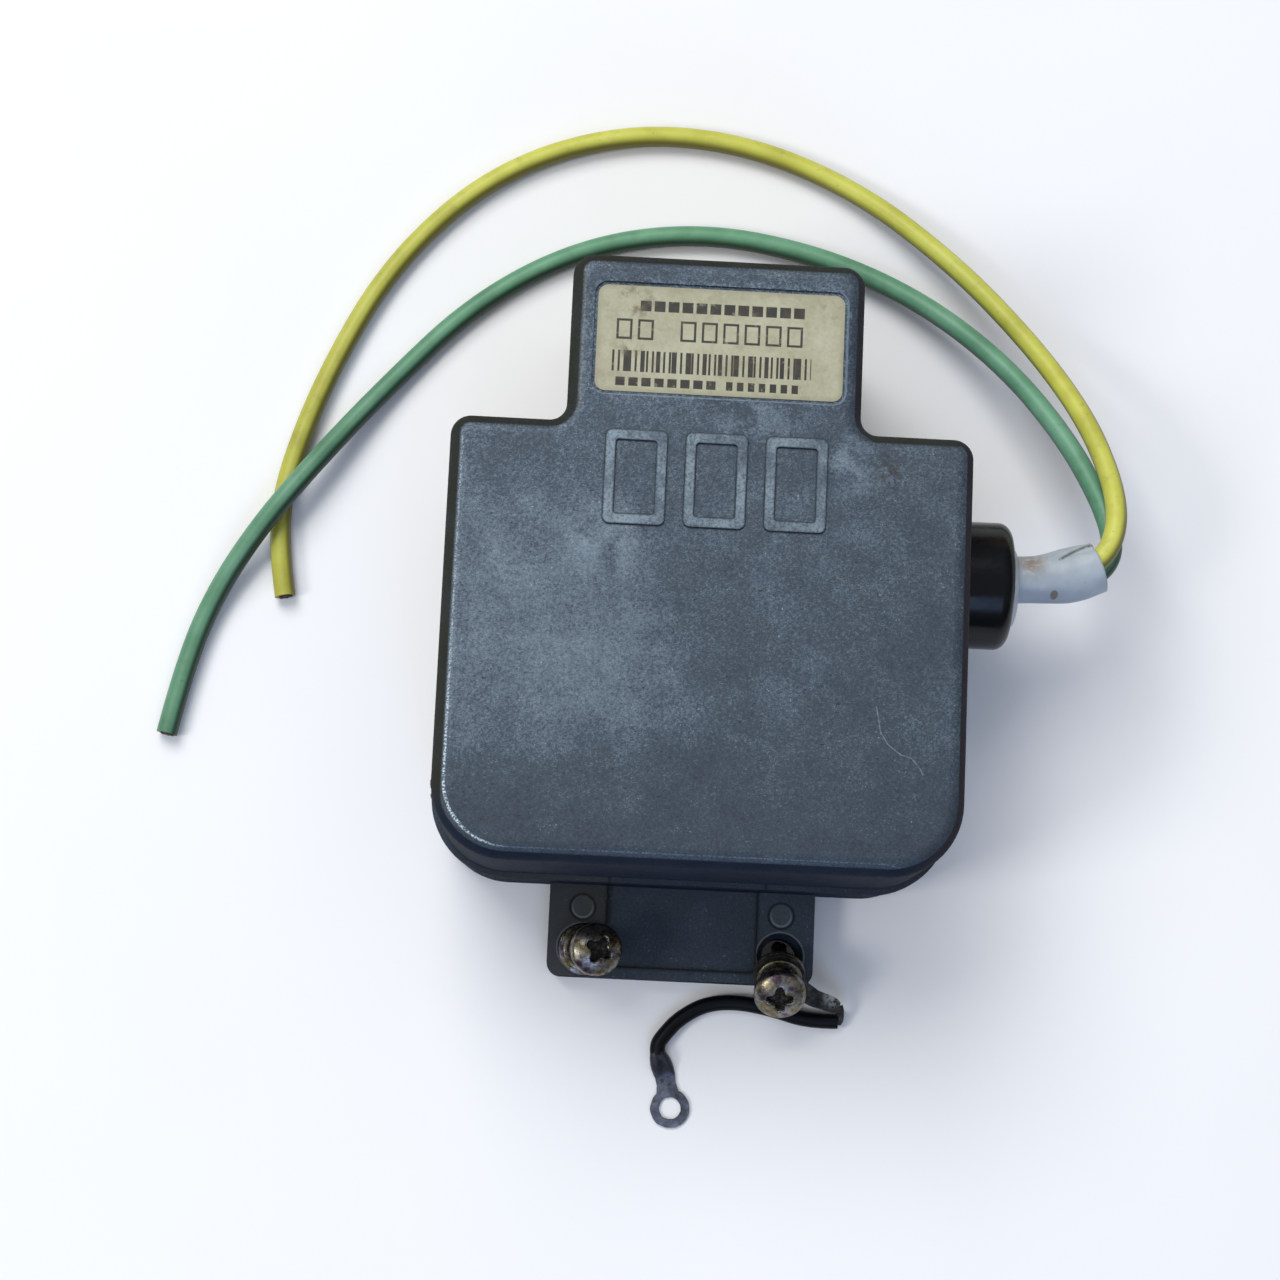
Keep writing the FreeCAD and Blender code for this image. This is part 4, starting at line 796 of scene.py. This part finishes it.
def plated_piece(prefix, node, points, faces, tip, aim, materials):
    """A screw or a washer, moved to the screw's tip and turned to its aim."""
    piece = add_piece(prefix + node, stood(points, tip, aim), faces, materials["plated"],
                      [node])
    return sharpen(piece, 50)


def captive_screw(side, tip, aim, materials, turn, seed):
    points, rows, columns = screw_points(turn, seed)
    faces = [face[::-1] for face in capped_faces(rows, columns)]
    piece = plated_piece("worn_", "captive_screw_" + side, points, faces, tip, aim, materials)
    piece.data.materials.append(materials["recess"])
    piece.data.materials.append(materials["burr"])
    for polygon in piece.data.polygons:
        row = polygon.index // columns
        if row < RECESS_ROWS:
            polygon.material_index = 1
        elif row < RECESS_ROWS + 2:
            polygon.material_index = 2


def plate_profile(outer, inner, low, high, edge):
    """Section of a flat ring with broken edges, as (radius, z) points."""
    return [(outer - edge, low), (outer, low + edge), (outer, high - edge), (outer - edge, high),
            (inner + edge, high), (inner, high - edge), (inner, low + edge), (inner + edge, low)]


def ring_plate(centre, outer, inner, low, high, columns=64, edge=BROKEN_EDGE, rough=0.0, seed=1.0):
    """A flat ring, which may have a slightly uneven outline."""
    profile = plate_profile(outer, inner, low, high, edge)
    points = []
    for radius, z in profile:
        for i in range(columns):
            a = TURN * i / columns
            r = radius + rough * wobble((cos(a) * 2, sin(a) * 2, 0), 0.9, seed)
            points.append((centre[0] + r * cos(a), centre[1] + r * sin(a), z))
    return points, ring_faces(len(profile), columns, closed=True)


def washer(side, at, tip, aim, materials):
    points, faces = ring_plate((0, 0), WASHER_OUTER, WASHER_INNER, at, at + WASHER_THICKNESS, 72, 0.12)
    plated_piece("worn_", "plain_washer_" + side, points, faces, tip, aim, materials)


def spring_washer(side, at, tip, aim, materials):
    """A split ring whose ends stand apart."""
    steps, gap, rise = 80, 0.17, 0.22
    points, faces = [], []
    section = plate_profile(SPRING_OUTER, SPRING_INNER, 0.0, SPRING_THICKNESS - rise, 0.1)
    for step in range(steps + 1):
        share = step / steps
        angle = gap + (TURN - 2 * gap) * share
        points += [(r * cos(angle), r * sin(angle), at + z + rise * share) for r, z in section]
    count = len(section)
    for step in range(steps):
        for i in range(count):
            a, b = step * count + i, step * count + (i + 1) % count
            faces.append((a, a + count, b + count, b))
    faces.append(tuple(range(count)))
    last = steps * count
    faces.append(tuple(range(last, last + count))[::-1])
    plated_piece("split_", "spring_washer_" + side, points, faces, tip, aim, materials)


def sweep(path, sections):
    """A skin through one closed section of (side, up) offsets at each path point."""
    points = []
    for i, (place, section) in enumerate(zip(path, sections)):
        before, after = path[max(i - 1, 0)], path[min(i + 1, len(path) - 1)]
        along = (Vector(after) - Vector(before)).normalized()
        side = along.cross(Vector((0, 0, 1)))
        side = side.normalized() if side.length > 1e-6 else Vector((1, 0, 0))
        up = side.cross(along).normalized()
        points += [Vector(place) + side * s + up * u for s, u in section]
    return points, capped_faces(len(path), len(sections[0]))


def flat_section(half_width, thickness):
    """A strip's section with broken edges, lying on its centreline."""
    w, t, edge = half_width, thickness / 2, BROKEN_EDGE
    return [(-w, -t + edge), (-w + edge, -t), (w - edge, -t), (w, -t + edge),
            (w, t - edge), (w - edge, t), (-w + edge, t), (-w, t - edge)]


def round_section(half_width, half_height, groove=0.0, columns=24):
    """An oval section with a seam pressed into its top."""
    section = []
    for i in range(columns):
        angle = TURN * i / columns
        dent = groove * exp(-((angle - TURN / 4) / 0.35) ** 2)
        across = (half_width - 0.3 * dent) * cos(angle)
        section.append((across, (half_height - dent) * sin(angle)))
    return section


def joined(parts):
    """One list of points and faces from several."""
    points, faces = [], []
    for part_points, part_faces in parts:
        first = len(points)
        points += [tuple(p) for p in part_points]
        faces += [tuple(first + i for i in face) for face in part_faces]
    return points, faces


def earth_lug(materials):
    """The tinned tag under the right screw's washers, bent down to the black lead."""
    at = RIGHT_WASHER_AT + WASHER_THICKNESS
    ring_points, ring_quads = ring_plate((0, 0), LUG_RADIUS, WASHER_INNER, at, at + LUG_THICKNESS)
    ring_points = stood(ring_points, RIGHT_TIP, RIGHT_AIM)
    aim = Vector(RIGHT_AIM).normalized()
    centre = Vector(RIGHT_TIP) + aim * (at + LUG_THICKNESS / 2)
    target = Vector(EARTH_ROUTE[0]) + Vector((-0.1, 2.1, 1.8))
    outward = target - centre
    outward = (outward - aim * outward.dot(aim)).normalized()
    root = centre + outward * 2.8
    knee = centre + outward * 6.4
    bend = knee.lerp(target, 0.14) + aim * 0.1
    path = [root, centre + outward * 4.6, knee, bend, knee.lerp(target, 0.45),
            knee.lerp(target, 0.72), knee.lerp(target, 0.9), target]
    widths = [1.9, 1.55, 1.4, 1.35, 1.3, 1.25, 1.1, 0.8]
    strip = sweep(path, [flat_section(w, LUG_THICKNESS - 0.06) for w in widths])
    start = Vector(EARTH_ROUTE[0])
    curl_path = [target, target + Vector((0.3, -0.6, -0.5)), start + Vector((0.35, 0.8, 0.7)),
                 start + Vector((0.35, 0.3, 0.2)), start + Vector((0.05, 0, -0.1))]
    curl_halves = [(0.8, 0.26), (0.7, 0.28), (0.62, 0.36), (0.62, 0.5), (0.8, 0.8)]
    curl = sweep(curl_path, [round_section(*halves) for halves in curl_halves])
    points, faces = joined([(ring_points, ring_quads), strip, curl])
    piece = add_piece("bent_earth_lug", points, faces, materials["lug"], ["earth_lug"])
    return sharpen(piece, 45)


def ring_terminal(materials):
    """A ring on a flat tongue, crimped over the end of the black lead."""
    end = Vector(EARTH_ROUTE[-1])
    before = Vector(EARTH_ROUTE[-2])
    along = (end - before).normalized()
    ring = ring_plate(TERMINAL_CENTRE, TERMINAL_RADIUS, TERMINAL_HOLE_RADIUS, 0.0, TERMINAL_THICKNESS,
                      rough=0.13, seed=4.0)
    middle = TERMINAL_THICKNESS / 2
    flat_end = Vector((TERMINAL_CENTRE[0], TERMINAL_CENTRE[1], middle))
    tongue_start = Vector((end.x + 1.2, end.y - 2.9, middle))
    direction = (flat_end - tongue_start).normalized()
    tongue_end = flat_end - direction * (TERMINAL_HOLE_RADIUS + 0.7)
    thin = TERMINAL_THICKNESS - 0.06
    tongue = sweep([tongue_start, tongue_start.lerp(tongue_end, 0.5), tongue_end],
                   [flat_section(1.6, thin), flat_section(1.48, thin), flat_section(1.75, thin)])
    over_tongue = tongue_start + Vector((0, 0, 0.12))
    barrel_path = [end - along * 0.5, end - along * 0.1, end.lerp(over_tongue, 0.25),
                   end.lerp(over_tongue, 0.5), end.lerp(over_tongue, 0.78), over_tongue,
                   over_tongue + direction * 0.5]
    barrel_sizes = [(1.2, 1.2, 0.05), (1.36, 1.34, 0.3), (1.62, 1.3, 0.7), (1.72, 1.1, 0.62),
                    (1.7, 0.75, 0.35), (1.62, 0.4, 0.1), (1.5, 0.2, 0.0)]
    barrel = sweep(barrel_path, [round_section(*size) for size in barrel_sizes])
    points, faces = joined([ring, tongue, barrel])
    piece = add_piece("crimped_terminal", points, faces, materials["tinned"],
                      ["ring_terminal"])
    return sharpen(piece, 45)


def sleeve_section(share, outward):
    """The soft sleeve's section, which flattens and creases towards its open end."""
    half_y = 3.6 + 0.65 * smooth(0.2, 0.65, share) - 0.35 * smooth(0.75, 1.0, share)
    half_z = 3.75 + 0.2 * smooth(0.3, 1.0, share)
    section = []
    for i in range(SLEEVE_COLUMNS):
        angle = TURN * i / SLEEVE_COLUMNS
        crease = 0.5 * smooth(0.4, 0.9, share) * exp(-((angle - 0.82) / 0.13) ** 2)
        lump = 0.12 * wobble((cos(angle) * 2, sin(angle) * 2, share * 5), 1.1, 3.0)
        grow = outward - crease + lump
        section.append(((half_y + grow) * -cos(angle), (half_z + grow) * sin(angle)))
    return section


def lead_sleeve(materials):
    """White silicone sleeving, open at its end, round both leads."""
    start, bend, end = (Vector(p) for p in SLEEVE_ROUTE)
    steps = 36
    shares = [step / steps for step in range(steps + 1)]
    path = [start * (1 - s) ** 2 + bend * 2 * s * (1 - s) + end * s * s for s in shares]
    points, _ = sweep(path, [sleeve_section(s, 0.0) for s in shares])
    inner_points, _ = sweep(path, [sleeve_section(s, -SLEEVE_WALL) for s in shares])
    for row in range(steps, -1, -1):
        points += inner_points[row * SLEEVE_COLUMNS:(row + 1) * SLEEVE_COLUMNS]
    faces = ring_faces(2 * (steps + 1), SLEEVE_COLUMNS, closed=True)
    return add_piece("soft_lead_sleeve", points, faces, materials["silicone"],
                     ["lead_sleeve"])


def potting(materials):
    """Silicone that wells out of the bushing's mouth and smears over its lower rim."""
    columns = 96
    points = []
    for x, plain, smeared in POTTING_PROFILE:
        for i in range(columns):
            a = TURN * i / columns
            low_side = smooth(-0.1, 0.9, -cos(a - 0.35))
            fresh = smooth(46.5, 47.3, x)
            ragged = wobble((cos(a) * 7, sin(a) * 7, 0), 0.7, 9.0)
            lump = wobble((cos(a) * plain, sin(a) * plain, x), 2.2, 5.0)
            r = plain + (smeared - plain + 0.25 * ragged) * low_side * fresh + 0.15 * lump * fresh
            back = 0.9 * low_side * smooth(5.5, 7.6, r) * fresh
            points.append((x - back + 0.1 * lump * fresh, AXIS_Y + r * cos(a),
                           AXIS_Z + r * sin(a)))
    return add_piece("potting_silicone", points, capped_faces(len(POTTING_PROFILE), columns),
                     materials["silicone"], ["potting_bead"])


def cord_curve(node, route, diameter, material):
    """A lead as a smooth curve along its given route."""
    name = node + "_cord"
    curve = bpy.data.curves.new(name, "CURVE")
    curve.dimensions = "3D"
    spline = curve.splines.new("NURBS")
    spline.points.add(len(route) - 1)
    for point, place in zip(spline.points, route):
        point.co = (*[c * MM for c in place], 1.0)
    spline.order_u = 3
    spline.use_endpoint_u = True
    spline.resolution_u = 20
    curve.bevel_depth = diameter / 2 * MM
    curve.bevel_resolution = 9
    curve.use_fill_caps = True
    curve.materials.append(material)
    piece = new_object(name, curve)
    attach(piece, "root")
    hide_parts(node)
    return piece


def cut_strands(name, route, materials):
    """Conductor strands that stand a little proud of a lead's cut end."""
    end = Vector(route[-1])
    along = (end - Vector(route[-2])).normalized()
    side = along.cross(Vector((0, 0, 1))).normalized()
    up = side.cross(along)
    parts = []
    golden = pi * (3 - sqrt(5))
    wire = CONDUCTOR_RADIUS / sqrt(STRAND_COUNT) * 0.92
    for i in range(STRAND_COUNT):
        reach = CONDUCTOR_RADIUS * sqrt((i + 0.5) / STRAND_COUNT)
        middle = end + side * reach * cos(golden * i) + up * reach * sin(golden * i)
        proud = 0.16 + 0.12 * wobble((i, 0, 0), 1.3, 2.0)
        path = [middle + along * place for place in (-0.5, proud, proud + 0.05)]
        parts.append(sweep(path, [round_section(r, r, columns=8) for r in (wire, wire, wire * 0.6)]))
    points, faces = joined(parts)
    return add_piece(name, points, faces, materials["cut"])


def seam_residue(materials):
    """Crumbs of old sealant in the seam at the lower left."""
    parts = []
    for i, (y, size) in enumerate(SEALANT_CRUMBS):
        centre = Vector((SEAM_LEFT_X + 0.08 * (i % 2), y, SEAM_Z - 0.6 + 0.3 * (i % 3)))
        rows, columns = 9, 14
        points = []
        for row in range(rows):
            polar = pi * (row + 0.5) / rows
            for column in range(columns):
                a = TURN * column / columns
                out = sin(polar)
                aim = Vector((out * cos(a), out * sin(a), cos(polar)))
                reach = size * (1 + 0.45 * wobble(centre + aim, 0.7, 6.0 + i))
                points.append(centre + Vector((aim.x * 0.8, aim.y * 1.6, aim.z)) * reach)
        parts.append((points, capped_faces(rows, columns)))
    points, faces = joined(parts)
    return add_piece("seam_residue", points, faces, materials["residue"])


# Scene

def add_camera():
    cy, sy = cos(CAMERA_YAW), sin(CAMERA_YAW)
    cx, sx = cos(CAMERA_PITCH), sin(CAMERA_PITCH)
    cz, sz = cos(CAMERA_ROLL), sin(CAMERA_ROLL)
    turn = (Matrix(((cy, 0, sy), (0, 1, 0), (-sy, 0, cy)))
            @ Matrix(((1, 0, 0), (0, cx, -sx), (0, sx, cx)))
            @ Matrix(((cz, -sz, 0), (sz, cz, 0), (0, 0, 1))))
    data = bpy.data.cameras.new("camera")
    data.sensor_width = SENSOR
    data.lens = FOCAL_PIXELS / IMAGE_SIDE * SENSOR
    camera = new_object("camera", data)
    camera.matrix_world = Matrix.Translation(Vector(CAMERA_PLACE) * MM) @ turn.to_4x4()
    bpy.context.scene.camera = camera


def add_lamp(name, place, size, power, colour):
    """A square soft lamp, in metres, that faces the part."""
    data = bpy.data.lights.new(name, "AREA")
    data.size = size
    data.energy = power
    data.color = colour
    lamp = new_object(name, data)
    lamp.location = place
    lamp.rotation_mode = "QUATERNION"
    lamp.rotation_quaternion = (Vector(LAMP_TARGET) - Vector(place)).to_track_quat("-Z", "Y")


def add_world():
    """A soft sky that dims towards the horizon, so that rounded edges of metal turn dark."""
    world = bpy.data.worlds.new("room")
    world.use_nodes = True
    tree = world.node_tree
    tree.nodes.clear()
    output, background, coordinates, split, ramp = (
        tree.nodes.new("ShaderNode" + kind)
        for kind in ("OutputWorld", "Background", "TexCoord", "SeparateXYZ", "ValToRGB"))
    ramp.color_ramp.elements[0].position = 0.05
    ramp.color_ramp.elements[0].color = SKY_LOW
    ramp.color_ramp.elements[1].position = 0.9
    ramp.color_ramp.elements[1].color = SKY_HIGH
    tree.links.new(coordinates.outputs["Generated"], split.inputs[0])
    tree.links.new(split.outputs[2], ramp.inputs["Fac"])
    tree.links.new(ramp.outputs["Color"], background.inputs["Color"])
    background.inputs["Strength"].default_value = 1.0
    tree.links.new(background.outputs["Background"], output.inputs["Surface"])
    bpy.context.scene.world = world


def add_floor():
    half = FLOOR_HALF
    mesh = bpy.data.meshes.new("floor")
    mesh.from_pydata([(-half, -half, 0), (half, -half, 0), (half, half, 0), (-half, half, 0)],
                     [], [(0, 1, 2, 3)])
    floor = new_object("floor", mesh)
    p = Paint("pale_floor")
    p.colour = p.ramp(p.noise(60, 2.0), [(0.3, FLOOR_DARK), (0.7, FLOOR_LIGHT)])
    mesh.materials.append(p.finish(0.7))


def main():
    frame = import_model()
    scene = bpy.context.scene
    scene.view_settings.view_transform = "Standard"
    materials = {
        "cover": cover_material(),
        "housing": housing_material(),
        "label": label_material(),
        "bushing": bushing_material(),
        "silicone": silicone_material(),
        "yellow": insulation_material("yellow_insulation", (196, 197, 82), (206, 208, 96),
                                      (180, 178, 70), (120, 116, 70), 0.3, (112, 106, 44)),
        "green": insulation_material("green_insulation", (102, 156, 122), (118, 170, 138),
                                     (90, 140, 108), (84, 104, 78), 0.3, (42, 66, 50)),
        "black": insulation_material("black_insulation", (7, 9, 14), (12, 15, 22),
                                     (5, 6, 8), (26, 26, 26), 0.2, (4, 5, 8), 0.12),
        "cut": cut_material(),
        "plated": plated_material(),
        "tinned": tinned_material(),
        "lug": lug_material(),
        "recess": recess_material(),
        "burr": burr_material(),
        "residue": residue_material(),
        "iron": plain_metal("soft_iron", (92, 94, 98), (140, 142, 146), 0.4),
        "magnet": plain_metal("magnet", (70, 70, 74), (104, 104, 108), 0.5),
        "copper": plain_metal("copper", (160, 94, 66), (206, 134, 98), 0.32),
        "cathode": plain_metal("cathode_metal", (120, 122, 124), (168, 168, 168), 0.35),
        "ceramic": plain_metal("ceramic", (214, 208, 196), (232, 228, 220), 0.5, 0.0),
    }
    add_camera()
    yellow = cord_curve("yellow_lead", YELLOW_ROUTE, LEAD_DIAMETER, materials["yellow"])
    green = cord_curve("green_lead", GREEN_ROUTE, LEAD_DIAMETER, materials["green"])
    earth = cord_curve("earth_lead", EARTH_ROUTE, EARTH_DIAMETER, materials["black"])
    yellow_strands = cut_strands("yellow_lead_strands", YELLOW_ROUTE, materials)
    green_strands = cut_strands("green_lead_strands", GREEN_ROUTE, materials)
    dress_nodes(frame["nodes"], materials)
    for side, tip, aim, at, lug, turn, seed in (
            ("left", LEFT_TIP, LEFT_AIM, LEFT_WASHER_AT, 0.0, LEFT_RECESS_TURN, 1.0),
            ("right", RIGHT_TIP, RIGHT_AIM, RIGHT_WASHER_AT, LUG_THICKNESS, RIGHT_RECESS_TURN, 2.0)):
        captive_screw(side, tip, aim, materials, turn, seed)
        washer(side, at, tip, aim, materials)
        spring_washer(side, at + WASHER_THICKNESS + lug, tip, aim, materials)
    earth_lug(materials)
    terminal = ring_terminal(materials)
    lead_sleeve(materials)
    potting(materials)
    seam_residue(materials)
    add_floor()
    add_world()
    for lamp in LAMPS:
        add_lamp(*lamp)


main()
